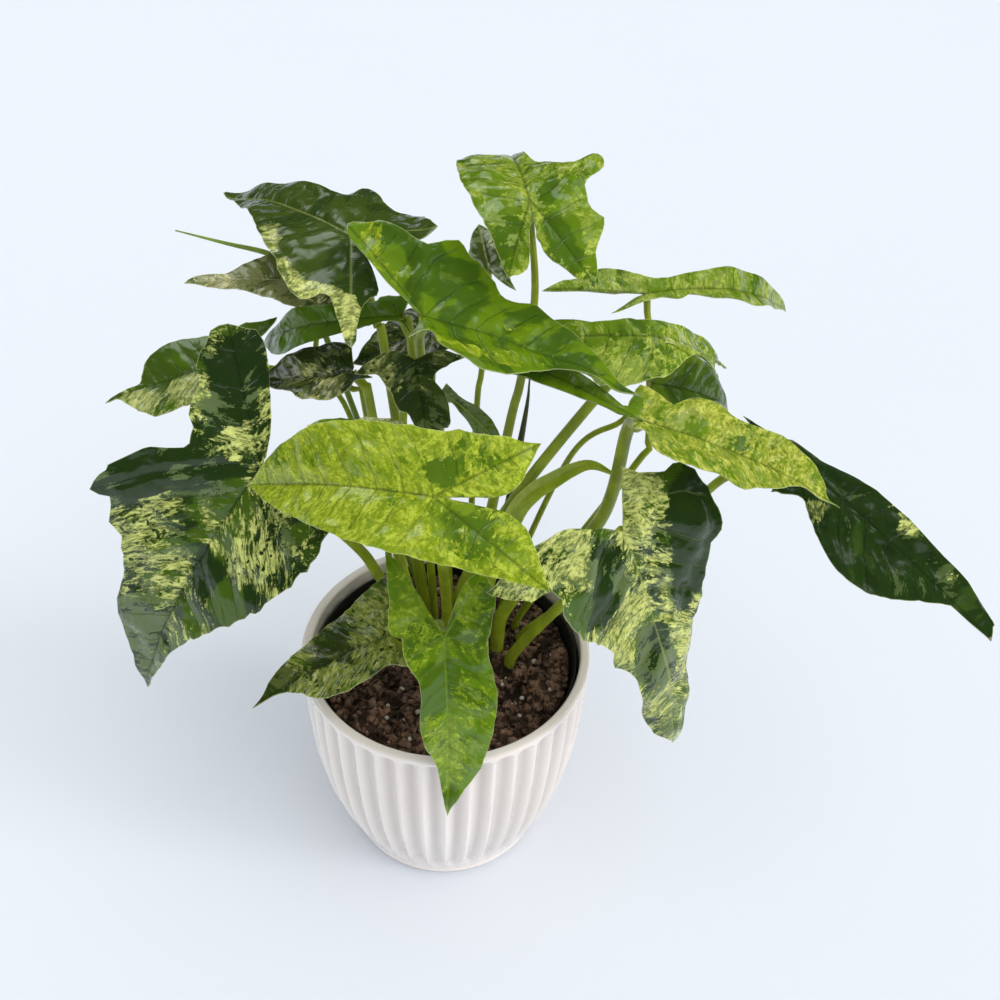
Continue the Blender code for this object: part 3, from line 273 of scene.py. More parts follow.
# How each leaf is coloured: its two greens, its light marbling and its middle tone; how much of the
# blade is marbled (0 is half of it), is of the middle tone and is of the first green; the depth of its
# puckers in mm; its vein lines (above 0 pale, below 0 dark: a deeper vein colour that is partly painted
# shade of the sunken veins); the dark pits in the marbling, how far it runs along the veins and the green
# net through it; the pale rim line; how drawn out the tip and how uneven the edge is; and soft-edged
# spots, each (along, out, radius) and what it adds to marbled, toned and dark. PLAIN is what most leaves
# share.
PLAIN = dict(light=CREAM, middle=GREY_GREEN, toned=-0.1, dark=0, pits=0.5, run=0.5, net=0.3, rim=0.35,
             drip=0.45, frill=0.5, spots=())
LOOKS = {
    "front": dict(
        greens=((0.085, 0.165, 0.003), (0.165, 0.265, 0.005)), light=(0.37, 0.45, 0.022),
        middle=(0.27, 0.36, 0.06), marbled=0.5, toned=-0.3, dark=-0.1, pucker=1, vein=-0.35, pits=0.4,
        run=0.8,
        spots=((-1, -10, 6, -1.2, 0, 1.2), (-12, -18, 9, -0.3, 0, 0.3), (-26, -22, 11, -0.2, 0, 0.1),
               (-12, 11, 12, -0.8, -0.1, -0.1), (-27, 12, 12, -0.5), (24, -12, 13, -0.1, 0.45),
               (56, -8, 12, -0.1, 0.35, 0.2), (72, 2, 14, 0.3), (10, 16, 12, 0.35), (35, 8, 14, 0.3))),
    "front_drop": dict(
        greens=(GREEN, (0.115, 0.22, 0.003)), light=(0.25, 0.35, 0.01), middle=(0.19, 0.29, 0.04),
        marbled=-0.1, toned=-0.45, dark=-0.3, pucker=0.8, vein=0.35, pits=0.3, run=0.7,
        spots=((17, -3, 9, -0.9, -0.5, 1), (27, -7, 7, -0.8, -0.5, 1.1), (79, 1, 8, -0.5, -0.3, 0.9),
               (54, 9, 10, -0.2, 0.5), (-10, -17, 14, 0.2, 0.1, 0.2), (-15, 12, 12, 0.3, 0.1, 0.1),
               (45, -4, 12, 0.35, 0.2), (65, 2, 14, 0.3, 0.2))),
    "low_left": dict(
        greens=((0.03, 0.052, 0.005), GREEN), light=(0.34, 0.37, 0.085), middle=(0.11, 0.14, 0.03),
        marbled=0.15, toned=-0.3, dark=0.1, pucker=0.9, vein=-0.2, pits=1,
        spots=((27, -6, 10, -0.9, 0, 0.3), (55, 0, 12, -0.7, 0.5), (62, 0, 10, -0.6, -0.4, 0.5),
               (11, 10, 12, 0.3), (5, -14, 12, 0.3, 0, 0.2), (30, 8, 9, 0.4))),
    "left_large": dict(
        greens=(DARK, (0.06, 0.12, 0.006)), marbled=-0.05, toned=-0.35, dark=0.15, pucker=1.5, vein=-0.35,
        pits=1, run=0.42, net=0.9, frill=1.3,
        spots=((-24, -32, 12, -1.5, -0.1, 1), (-13, -26, 10, -1.3, 0.1, 0.9), (-34, -35, 8, -1.1, 0, 0.8),
               (-6, -36, 8, 0.1, 0.7), (-4, -15, 9, 0.8, 0.1), (45, -50, 12, -1.4, 0.1, 0.7),
               (31, -41, 13, -1.5, -0.3, 0.7), (19, -28, 12, -1.1, 0.1, 0.4),
               (16, -12, 11, -0.8, 0.3, 0.4), (64, -20, 15, 0.5), (57, -33, 9, 0.5),
               (44, -12, 9, -0.4, 0.2, 0.3), (51, 8, 9, -1.3, -0.3, 0.5), (56, 24, 11, -1.2, -0.3, -0.7),
               (106, -5, 22, -0.5, 0.65), (88, -10, 13, -0.2, 0.4, 0.2), (31, 19, 13, 0.45, -0.2),
               (12, 17, 11, 0.3, -0.2, 0.2))),
    "left_back": dict(
        greens=((0.055, 0.105, 0.006), GREEN), light=(0.46, 0.49, 0.16), marbled=-1.5, toned=-0.5,
        pucker=0.6, vein=-0.2, pits=0.6, rim=0.5,
        spots=((28, 14, 17, 1.9, 0.5), (10, 9, 14, 1.9, 0.5), (50, 5, 14, 1.8, 0.5))),
    "middle_left": dict(
        greens=(GREEN, (0.085, 0.175, 0.004)), light=LIME, middle=BRIGHT_GREEN, marbled=-1.5, toned=-0.6,
        dark=-0.2, pucker=0.7, vein=-0.5, pits=0.2),
    "centre": dict(
        greens=((0.06, 0.13, 0.005), (0.13, 0.235, 0.004)), light=(0.35, 0.43, 0.018),
        middle=(0.11, 0.19, 0.02), marbled=-1.3, toned=-0.5, dark=-0.3, pucker=1.1, vein=-0.45, run=0.7,
        spots=((-31, 25, 8, 1.5), (-25, 16, 7, 1.5), (-14, 12, 6, 1.3), (8, -20, 9, 1.7),
               (22, -17, 8, 1.7), (36, -12, 8, 1.7), (50, -6, 6, 1.2), (-5, 22, 13, -0.3, 0, 0.7),
               (13, 21, 12, -0.3, 0, 0.7), (36, 6, 9, 0.9))),
    "right_upper": dict(
        greens=(GREEN, BRIGHT_GREEN), light=(0.35, 0.43, 0.055), middle=(0.25, 0.34, 0.1), marbled=0.1,
        toned=-0.25, dark=-0.2, pucker=1.1, vein=-0.45, run=0.6,
        spots=((44, -2, 12, -1.2, 0.1, 0.1), (38, 12, 9, -0.7, 0.1, -0.1), (14, 19, 9, 0.1, 0.6),
               (22, 11, 9, 0.3), (-12, 3, 10, 0.3))),
    "right_long": dict(
        greens=(GREEN, BRIGHT_GREEN), light=(0.43, 0.46, 0.06), middle=(0.3, 0.36, 0.06), marbled=0.35,
        toned=-0.2, dark=-0.2, pucker=0.9, vein=-0.15, pits=0.85, run=0.6,
        spots=((-11, 6, 10, -2, -0.8, -0.2), (-27, 8, 12, -2.2, -0.8, -0.2), (-43, 7, 12, -2, -0.8, -0.1),
               (-58, 5, 10, -1.8, -0.8), (21, 5, 6, -1.2, 0, 0.1), (41, 5, 4, -0.9, 0, 0.1),
               (60, 3, 13, 0.2), (0, 17, 9, 0.2, 0.2))),
    "far_right": dict(
        greens=(DARK, (0.035, 0.075, 0.008)), middle=(0.085, 0.13, 0.035), marbled=-1.4, toned=-0.7,
        dark=0.35, pucker=2, vein=-0.35, pits=0.6,
        spots=((21, -13, 8, 1.8, 0.2), (56, 9, 6, 1.4, 0.4), (62, 12, 6, 1, 0.5),
               (78, 8, 9, 1, 0.6, -0.3), (90, 4, 9, 0.8, 0.5, -0.3), (72, -10, 10, 0.2, 0.5),
               (46, 13, 7, 1.2, 0.2))),
    "right_low": dict(
        greens=(DARK, (0.055, 0.115, 0.006)), marbled=0.1, toned=-0.05, pucker=2.2, vein=0.25, pits=0.45,
        run=0.45, net=1, frill=1,
        spots=((6, 37, 17, -2, -1, 0.9), (19, 34, 14, -2, -1, 0.9), (30, 26, 11, -1.8, -0.8, 0.9),
               (42, 19, 8, -1.4, -0.6, 0.8), (5, -14, 9, -1.4, -0.1, 0.7), (20, -13, 9, -1.4, -0.1, 0.7),
               (23, -25, 10, -1.4, -0.6, -0.1), (66, -4, 10, -1.4, 0.2, 0.8), (54, -2, 8, -1.4, 0.1, 0.8),
               (-10, 14, 9, 1.5, 0.2, -0.3), (-3, 19, 6, 1.1, 0.1, -0.3), (-9, -26, 10, 0.9, 0.1),
               (-2, -22, 7, 0.9), (31, -5, 8, 0.9, 0.2), (40, -8, 8, 0.6, 0.2), (55, 12, 8, 0.9),
               (70, 10, 8, 0.8), (51, -18, 9, 0.9, 0.1), (90, -3, 11, 0.4, 0.4),
               (108, 5, 12, -0.2, 0.5, -0.3), (2, 4, 7, 0.6))),
    "top": dict(
        greens=(GREEN, BRIGHT_GREEN), light=(0.35, 0.43, 0.045), middle=(0.26, 0.36, 0.07), marbled=0.1,
        dark=-0.25, pucker=1, vein=-0.4, pits=0.35, run=0.7,
        spots=((-12, -10, 7, -1.8, -0.6, 0.7), (-20, -13, 7, -1.6, -0.6, 0.6), (2, -8, 6, -1, -0.3, 0.3),
               (-9, 15, 12, -0.5, 0, 0.5), (20, 20, 10, -0.4, 0.1))),
    "back_right": dict(
        greens=(GREEN, BRIGHT_GREEN), light=(0.31, 0.38, 0.055), middle=(0.22, 0.29, 0.07), marbled=0.1,
        pucker=0.7, vein=-0.3, pits=0.7, run=0.6,
        spots=((-5, -3, 8, 0.4, 0.2),)),
    "upper_left": dict(
        greens=((0.03, 0.062, 0.006), (0.052, 0.09, 0.008)), middle=(0.085, 0.125, 0.03), marbled=-1.8,
        toned=-0.4, dark=-0.2, pucker=0.9, vein=0.12, pits=0.4,
        spots=((33, 18, 7, 1.9, 0.2), (25, 24, 7, 2), (14, 28, 6, 1.8), (5, 30, 6, 2.1), (-4, 31, 7, 2.3),
               (-13, 29, 8, 2.4), (-21, 25, 9, 2.4), (-29, 30, 11, 2.4, 0.2), (10, 20, 6, 0.9),
               # The spots at (-27, 8) and (-14, 2) darken the blade as painted shade, where that half is
               # turned from the light
               (-27, 8, 13, -0.5, -0.5, 0.9), (-14, 2, 11, -0.4, -0.4, 0.8), (40, 8, 8, 0.5))),
    "back_left": dict(
        greens=((0.075, 0.1, 0.02), (0.1, 0.13, 0.03)), light=(0.52, 0.5, 0.24),
        middle=(0.22, 0.24, 0.09), marbled=-0.3, toned=0.1, pucker=0.5, vein=0.1,
        spots=((29, -4, 9, -0.5, 0.1), (45, 3, 9, 0.9, 0.2))),
    "left_marbled": dict(
        greens=((0.022, 0.04, 0.005), OLIVE), light=(0.36, 0.37, 0.12), middle=(0.12, 0.15, 0.05),
        marbled=-0.2, dark=0.3, pucker=0.7, vein=-0.2, pits=1,
        spots=((27, -16, 10, -0.7, -0.2, 0.3), (8, 4, 9, 0.2))),
    "middle_hanging": dict(
        greens=((0.022, 0.04, 0.005), OLIVE), light=(0.33, 0.35, 0.11), middle=(0.1, 0.14, 0.04),
        marbled=-0.45, toned=-0.2, dark=0.3, pucker=0.7, vein=-0.2, pits=1,
        spots=((20, 4, 10, -0.5), (2, -14, 8, 0.4))),
    "back_small": dict(
        greens=(OLIVE, GREEN), light=(0.5, 0.5, 0.22), marbled=-0.3, toned=0.2, dark=0.2, pucker=0.4,
        vein=0.1, pits=0.6,
        spots=((0, -6, 9, -1.3, -0.5, 0.6),)),
    "middle_under": dict(
        greens=(OLIVE, GREEN), marbled=-0.7, toned=0, pucker=0.4, vein=0.1, pits=0.6),
    "behind_front": dict(
        greens=(GREEN, BRIGHT_GREEN), light=PALE_CREAM, marbled=0.3, toned=0, pucker=0.3, vein=0.1,
        pits=0.9,
        spots=((15, 0, 10, -1.3, -0.6),)),
    "inner_marbled": dict(
        greens=((0.022, 0.04, 0.005), OLIVE), light=(0.33, 0.35, 0.11), middle=(0.1, 0.14, 0.04),
        marbled=-0.2, dark=0.3, pucker=0.5, vein=-0.2, pits=1),
    "right_dark": dict(
        greens=((0.045, 0.095, 0.005), (0.095, 0.165, 0.006)), marbled=-1.5, toned=-0.5, pucker=0.9,
        vein=-0.2),
}

# The folded leaf's two greens and its paler rim
YOUNG_GREENS, YOUNG_RIM = ((0.27, 0.37, 0.012), (0.40, 0.48, 0.035)), (0.50, 0.56, 0.16)

# Stalks, each (base, light): the leaf stalks' greens, and for the spears a seed for their streaks too
STALK_GREENS = ((0.235, 0.300, 0.012), (0.40, 0.45, 0.07))
SPEAR_GREENS = {
    "rolled_leaf_back": ((0.17, 0.26, 0.035), (0.40, 0.46, 0.14), 71.0),
    "old_stalk": ((0.045, 0.055, 0.020), (0.14, 0.15, 0.07), 83.0),
}

# The brown of a stalk's foot, and the way a folded leaf's open side faces
STALK_FOOT = (0.17, 0.16, 0.035)
OPEN_SIDE = (0.1, -0.75, 0.66)

# Fine blades
BLADE_RINGS = 40
OUTER_STEPS = 56
INNER_STEPS = 16
VEIN_SPACING = 11.5
# Degrees: the least between two points of the edge, the last ray of a half, and the reach of the easing
LEAST_TURN, MOST_TURN, EASE = 0.06, 177.0, 20
# (wavelength, height) in mm of the small unevenness of an edge
EDGE_WAVES = ((17.0, 0.45), (9.5, 0.45), (5.3, 0.28), (3.4, 0.16))
# Heights in mm. The pillows between the side veins and the small and wide waves are times the leaf's pucker
PILLOW, SMALL_WAVE, WIDE_WAVE, EDGE_WAVE = 0.85, 0.70, 0.90, 0.90
MIDRIB_GROOVE, MIDRIB_RIDGE = 0.45, 0.75


class Nodes:
    """Short calls that add nodes to one tree and join them up."""

    def __init__(self, tree):
        self.nodes, self.links = tree.nodes, tree.links

    def put(self, socket, value):
        if hasattr(value, "is_output"):
            self.links.new(value, socket)
        elif isinstance(value, tuple) and len(value) == 3 and socket.type == "RGBA":
            socket.default_value = (*value, 1.0)
        else:
            socket.default_value = value

    def node(self, kind, inputs=(), **settings):
        """A new node's outputs. Its inputs are given in order, or by name."""
        node = self.nodes.new("ShaderNode" + kind)
        for name, value in settings.items():
            setattr(node, name, value)
        for key, value in inputs.items() if isinstance(inputs, dict) else enumerate(inputs):
            self.put(node.inputs[key], value)
        return node.outputs

    def attribute(self, name):
        return self.split(self.node("Attribute", attribute_name=name)["Vector"])

    def place(self):
        return self.node("TexCoord")["Object"]

    def split(self, vector):
        return tuple(self.node("SeparateXYZ", (vector,)))

    def join(self, x, y, z):
        return self.node("CombineXYZ", (x, y, z))[0]

    def math(self, operation, *values):
        return self.node("Math", values, operation=operation)[0]

    def add(self, a, b):
        return self.math("ADD", a, b)

    def times(self, a, b):
        return self.math("MULTIPLY", a, b)

    def plus_times(self, a, b, c):
        """a + b * c"""
        return self.math("MULTIPLY_ADD", b, c, a)

    def rest(self, share):
        """What a share leaves of 1."""
        return self.math("SUBTRACT", 1.0, share)

    def step(self, value, low, high):
        """0 below low, 1 above high, and smooth between. It falls where low is above high."""
        ends = {"Value": value, "From Min": low, "From Max": high}
        return self.node("MapRange", ends, interpolation_type="SMOOTHSTEP")["Result"]

    def noise(self, vector, scale, detail=3.0, roughness=0.5):
        """Noise around 0, mostly within 1 of it."""
        fac = self.node("TexNoise", {"Vector": vector, "Scale": scale, "Detail": detail,
                                     "Roughness": roughness})["Fac"]
        return self.plus_times(-2.0, fac, 4.0)

    def swirl(self, vector, scale, reach):
        """The vector moved about by soft noise, by up to half of reach."""
        move = self.node("TexNoise", {"Vector": vector, "Scale": scale, "Detail": 2.0})["Color"]
        return self.node("VectorMath", (move, (reach, reach, 0.0), vector), operation="MULTIPLY_ADD")[0]

    def cells(self, vector, scale):
        """How far the nearest of some scattered points is."""
        return self.node("TexVoronoi", {"Vector": vector, "Scale": scale})["Distance"]

    def mix(self, share, a, b):
        return self.node("Mix", {"Factor": share, 6: a, 7: b}, data_type="RGBA")[2]


class Shader(Nodes):
    """The nodes of one material, and its shader's sockets by name."""

    def __init__(self, name):
        self.mat = bpy.data.materials.new(name)
        self.mat.use_nodes = True
        super().__init__(self.mat.node_tree)
        self.bsdf = self.nodes["Principled BSDF"]

    def surface(self, **sockets):
        """Values or links for the shader's sockets, named with _ for each space."""
        for name, value in sockets.items():
            self.put(self.bsdf.inputs[name.replace("_", " ")], value)

    def flesh(self, weight, radius):
        """A little light that gets through the plant's skin."""
        self.surface(Subsurface_Weight=weight, Subsurface_Radius=radius, Subsurface_Scale=1.0)

    def bump(self, height, distance, strength):
        bumps = {"Height": height, "Distance": distance, "Strength": strength}
        self.surface(Normal=self.node("Bump", bumps)["Normal"])


def between(a, b, share=0.5):
    """A colour this share of the way from a to b."""
    return tuple((1 - share) * x + share * y for x, y in zip(a, b))


def scaled(colour, by, plus=0.0):
    """A colour made lighter or deeper."""
    return tuple(min(1.0, by * c + plus) for c in colour)


def new_object(name, points, faces, mat, sharp=None):
    """A smooth-shaded piece from points in mm, with its edges sharp past an angle where that is given."""
    mesh = bpy.data.meshes.new(name)
    mesh.from_pydata((np.asarray(points, float) * MM).tolist(), [], faces)
    mesh.shade_smooth()
    if sharp is not None:
        mesh.set_sharp_from_angle(angle=math.radians(sharp))
    mesh.materials.append(mat)
    obj = bpy.data.objects.new(name, mesh)
    bpy.context.scene.collection.objects.link(obj)
    return obj


def add_field(obj, name, *fields):
    """Three numbers for each point, which a material reads by name."""
    layer = obj.data.attributes.new(name, "FLOAT_VECTOR", "POINT")
    layer.data.foreach_set("vector", np.stack(fields, 1).astype(np.float32).ravel())


def ring_faces(rings, sides):
    """Quads between closed rings of points, and a face over each end."""
    quads = [(row + k, row + (k + 1) % sides, row + sides + (k + 1) % sides, row + sides + k)
             for row in range(0, (rings - 1) * sides, sides) for k in range(sides)]
    return quads + [tuple(range(sides))[::-1], tuple((rings - 1) * sides + k for k in range(sides))]


def disc_faces(rings, sides, closed):
    """A fan from point 0 to the first ring, then quads from ring to ring, all the way round if closed."""
    pairs = [(k, (k + 1) % sides) for k in range(sides if closed else sides - 1)]
    fan = [(0, 1 + a, 1 + b) for a, b in pairs]
    return fan + [(row + a, row + sides + a, row + sides + b, row + b)
                  for row in range(1, 1 + (rings - 1) * sides, sides) for a, b in pairs]


def merged(shapes):
    """Many (points, faces) as one."""
    points, faces = [], []
    for own, own_faces in shapes:
        faces += [tuple(k + len(points) for k in f) for f in own_faces]
        points += list(own)
    return points, faces


def settle(obj, slot, *nodes):
    """Every piece rides on the one body and may stand for CAD nodes, which it hides. The slot is not used."""
    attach(obj, "root")
    if nodes:
        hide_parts(*nodes)
    return obj


def smooth_run(points, steps, lead=None):
    """A smooth line through the points (Catmull-Rom), read at even lengths. It sets off away from lead."""
    pts = np.array([points[0]] + list(points) + [points[-1]], float)
    pts[0] = 2 * pts[1] - pts[2] if lead is None else lead
    pts[-1] = 2 * pts[-2] - pts[-3]
    line = []
    for p0, p1, p2, p3 in zip(pts, pts[1:], pts[2:], pts[3:]):
        for t in np.linspace(0, 1, 17)[:-1]:
            line.append(0.5 * (2 * p1 + (p2 - p0) * t + (2 * p0 - 5 * p1 + 4 * p2 - p3) * t * t
                               + (3 * p1 - p0 - 3 * p2 + p3) * t ** 3))
    line = np.array(line + [pts[-2]])
    length = np.concatenate([[0], np.cumsum(np.linalg.norm(np.diff(line, axis=0), axis=1))])
    even = np.linspace(0, length[-1], steps + 1)
    return np.stack([np.interp(even, length, line[:, i]) for i in range(line.shape[1])], 1)


def leaf_frame(leaf):
    """Unit vectors of the leaf at its seat: along the midrib, to its left, and out of its upper face."""
    h, p, r = (math.radians(angle) for angle in leaf["turn"])
    along = np.array([math.cos(p) * math.cos(h), math.cos(p) * math.sin(h), math.sin(p)])
    level = np.array([-math.sin(h), math.cos(h), 0.0])
    up = np.cross(along, level)
    return along, level * math.cos(r) + up * math.sin(r), -level * math.sin(r) + up * math.cos(r)


def half_outline(length, margin, notch, side):
    """One half of the leaf's edge as (angle, reach) from the seat: tip, margin, lobe tip, notch."""
    outer = smooth_run([(length, 0.0), *margin], OUTER_STEPS)
    inner = smooth_run([margin[-1], *notch], INNER_STEPS)
    line = np.vstack([outer, inner[1:]])
    angle = np.degrees(np.arctan2(np.abs(line[:, 1]), line[:, 0]))
    turn = np.maximum.accumulate(angle)
    for i in range(1, len(turn)):
        turn[i] = max(turn[i], turn[i - 1] + LEAST_TURN)
    turn = np.minimum(turn, MOST_TURN + np.arange(len(turn)) * 0.01)
    return side * turn, np.hypot(line[:, 0], line[:, 1])


def eased(values, odd):
    """Values given over AROUND, read at each degree and rounded where their slope changes."""
    degrees = np.arange(0, 181)
    fine = np.interp(degrees, AROUND, values)
    before = 2 * fine[0] - fine[EASE:0:-1] if odd else fine[EASE:0:-1]
    padded = np.concatenate([before, fine, np.full(EASE, fine[-1])])
    kernel = np.exp(-0.5 * (np.arange(-EASE, EASE + 1) / 7.0) ** 2)
    return np.convolve(padded, kernel / kernel.sum(), "valid")


def blade_surface(leaf, axes, angle, reach):
    """Points of the blade: each ray leaves the seat at its rise and bends by its droop over one length."""
    along, left, up = axes
    degrees, size = np.arange(0, 181), np.abs(angle)
    rise, droop = np.zeros_like(size), np.zeros_like(size)
    for side, here in (("left", angle >= 0), ("right", angle < 0)):
        rises, droops = leaf["rise_" + side], leaf["droop_" + side]
        rise[here] = np.interp(size[here], degrees, eased((0, leaf["fold"], *rises, rises[-1]), True))
        droop[here] = np.interp(size[here], degrees, eased(
            (leaf["droop"], leaf["droop"], droops[0], sum(droops) / 2, droops[1], droops[1]), False))
    rise, droop = np.radians(rise), np.radians(droop)
    droop[np.abs(droop) < 1e-4] = 1e-4
    length, a = leaf["length"], np.radians(angle)
    out = length / droop * (np.sin(rise + droop * reach / length) - np.sin(rise))
    lift = length / droop * (np.cos(rise) - np.cos(rise + droop * reach / length))
    return (np.array(leaf["seat"]) + (out * np.cos(a))[:, None] * along
            + (out * np.sin(a))[:, None] * left + lift[:, None] * up)


def vein_net(leaf, angle, reach):
    """Where each point lies on the net of veins, in mm: s names the side vein through it, and is where
    that leaves the midrib (above 0) or the lobe's vein (below 0). t is how far out along it the point is."""
    s, t = np.zeros_like(reach), np.zeros_like(reach)
    for side, here in ((1, angle >= 0), (-1, angle < 0)):
        u, v = leaf["left" if side > 0 else "right"][-1]
        lobe = math.radians(min(168.0, max(128.0, math.degrees(math.atan2(abs(v), u)))))
        split = 0.46 * lobe
        rest = lobe - split
        a, r = np.radians(np.abs(angle[here])), reach[here]
        off = np.abs(lobe - a)
        main = a <= split
        out = r * np.where(main, np.sin(np.minimum(a, split)) / math.sin(split), np.sin(off) / math.sin(rest))
        along = r * np.where(main, np.sin(split - a) / math.sin(split), -np.sin(rest - off) / math.sin(rest))
        turn = np.where(main, -1.0, 1.0 - 2.0 * (off / rest) ** 2)
        s[here] = along + 0.006 * out ** 2 * turn
        t[here] = out * side * np.where(a > lobe, -1, 1)
    return s, t


def waves(x, y, size, rng, count=5):
    """A smooth random field about 0, made of a few waves of about this wavelength."""
    field = np.zeros_like(x)
    for _ in range(count):
        heading, phase = rng.uniform(0, 2 * math.pi, 2)
        k = 2 * math.pi / (size * rng.uniform(0.75, 1.35))
        field += np.sin(k * (x * math.cos(heading) + y * math.sin(heading)) + phase)
    return field / math.sqrt(count)


def natural_edge(leaf, look, rng):
    """The whole edge as (angle, reach), with a drawn-out drip tip and the small unevenness of a real edge."""
    right, left = (half_outline(leaf["length"], leaf[side], leaf[side + "_notch"], sign)
                   for side, sign in (("right", -1), ("left", 1)))
    angles, reaches = (np.concatenate([r[::-1], l[1:]]) for r, l in zip(right, left))
    u, v = reaches * np.cos(np.radians(angles)), reaches * np.sin(np.radians(angles))
    near_tip = np.clip((u / leaf["length"] - 0.80) / 0.20, 0, 1)
    v = v * (1 - look["drip"] * near_tip ** 1.2 * (np.abs(angles) < 60))
    run = np.concatenate([[0], np.cumsum(np.hypot(np.diff(u), np.diff(v)))])
    uneven = sum(np.sin(2 * math.pi * run / size + rng.uniform(0, 6.28)) * high for size, high in EDGE_WAVES)
    ends = np.clip(np.minimum(run, run[-1] - run) / 8.0, 0, 1)
    ends = ends * np.clip(np.hypot(u - leaf["length"], v) / 14.0, 0, 1)
    grown = 1 + look["frill"] * uneven * ends / np.maximum(np.hypot(u, v), 8.0)
    return np.degrees(np.arctan2(v, u)), np.hypot(u, v) * grown


def face_offsets(leaf, look, spacing, u, v, s, t, edge, share, rng):
    """How far in mm the upper and the lower face stand from the blade's middle: puckers, a groove over
    the midrib and a ridge below it, and a thinner edge."""
    size = leaf["length"] / 100
    near_rib = 1 - np.exp(-(np.abs(t) / 3.0) ** 2)
    near_edge = 1 - np.exp(-(edge / 3.5) ** 2)
    pillow = np.abs(np.sin(math.pi * s / spacing)) ** 0.8 - 0.62
    lift = look["pucker"] * (PILLOW * pillow * near_rib * near_edge * np.clip(np.abs(t) / 9, 0, 1)
                             + SMALL_WAVE * waves(u, v, 12 * size + 5, rng) * near_rib * near_edge
                             + WIDE_WAVE * waves(u, v, 34 * size + 6, rng) * share)
    lift += EDGE_WAVE * share ** 4 * waves(u, v, 17 * size + 4, rng) * min(1.0, size)
    groove = MIDRIB_GROOVE * np.exp(-(t / 1.3) ** 2) * np.clip(np.hypot(u, v) / 4, 0, 1) * near_edge
    half = (BLADE / 2) * (1 - 0.62 * np.exp(-edge / 1.4))
    rib = MIDRIB_RIDGE * np.exp(-(t / 1.1) ** 2) * np.clip(1.15 - share, 0, 1)
    return lift + half - groove, lift - half - groove - rib


def make_leaf(name, leaf, look, seed):
    """A fine blade on the node's form, in rings from its seat to its edge, with what its material reads."""
    rng = np.random.default_rng(seed)
    axes = leaf_frame(leaf)
    angles, reaches = natural_edge(leaf, look, rng)
    rays = len(angles)
    shares = (np.arange(1, BLADE_RINGS + 1) / BLADE_RINGS) ** 0.92
    angle = np.concatenate([[0.0], np.tile(angles, BLADE_RINGS)])
    share = np.concatenate([[0.0], np.repeat(shares, rays)])
    reach = np.concatenate([[0.0], np.outer(shares, reaches).ravel()])
    middle = blade_surface(leaf, axes, angle, reach)
    grid = middle[1:].reshape(BLADE_RINGS, rays, 3)
    normals = np.cross(np.gradient(grid, axis=0), np.gradient(grid, axis=1))
    normals = np.vstack([axes[2], normals.reshape(-1, 3)])
    normals /= np.maximum(np.linalg.norm(normals, axis=1), 1e-9)[:, None]

    u, v = reach * np.cos(np.radians(angle)), reach * np.sin(np.radians(angle))
    edge = np.array([np.hypot(u[-rays:] - x, v[-rays:] - y).min() for x, y in zip(u, v)])
    s, t = vein_net(leaf, angle, reach)
    spacing = VEIN_SPACING * max(0.45, leaf["length"] / 100)
    offsets = face_offsets(leaf, look, spacing, u, v, s, t, edge, share, rng)
    points = np.vstack([middle + normals * offset[:, None] for offset in offsets])

    count = len(middle)
    faces = disc_faces(BLADE_RINGS, rays, closed=False)
    rim = [0] + [1 + ring * rays for ring in range(BLADE_RINGS)]
    rim += [1 + (BLADE_RINGS - 1) * rays + i for i in range(1, rays)]
    rim += [ring * rays for ring in range(BLADE_RINGS - 1, 0, -1)]
    shell = faces + [tuple(k + count for k in f[::-1]) for f in faces]
    shell += [(b, a, a + count, b + count) for a, b in zip(rim, rim[1:] + rim[:1])]
    mat = leaf_material("leaf_" + name, look, seed, spacing)
    obj = new_object("blade_" + name, points, shell, mat, sharp=60)

    tint = np.array([[look["marbled"]], [look["toned"]], [look["dark"]]]) + np.zeros(count)
    for x, y, radius, *change in look["spots"]:
        change += [0] * (3 - len(change))
        near = np.clip(1.35 - np.hypot(u - x, v - y) / radius, 0, 1)
        tint += near * near * (3 - 2 * near) * np.array(change)[:, None]
    s, t, edge, u, v, *tint = (np.tile(field, 2) for field in (s, t, edge, u, v, *tint))
    add_field(obj, "vein", s, t, edge)
    add_field(obj, "flat", u, v, np.repeat((0.0, 1.0), count))
    add_field(obj, "tint", *tint)
    return settle(obj, "leaf_" + leaf["tone"], "leaf_" + name)


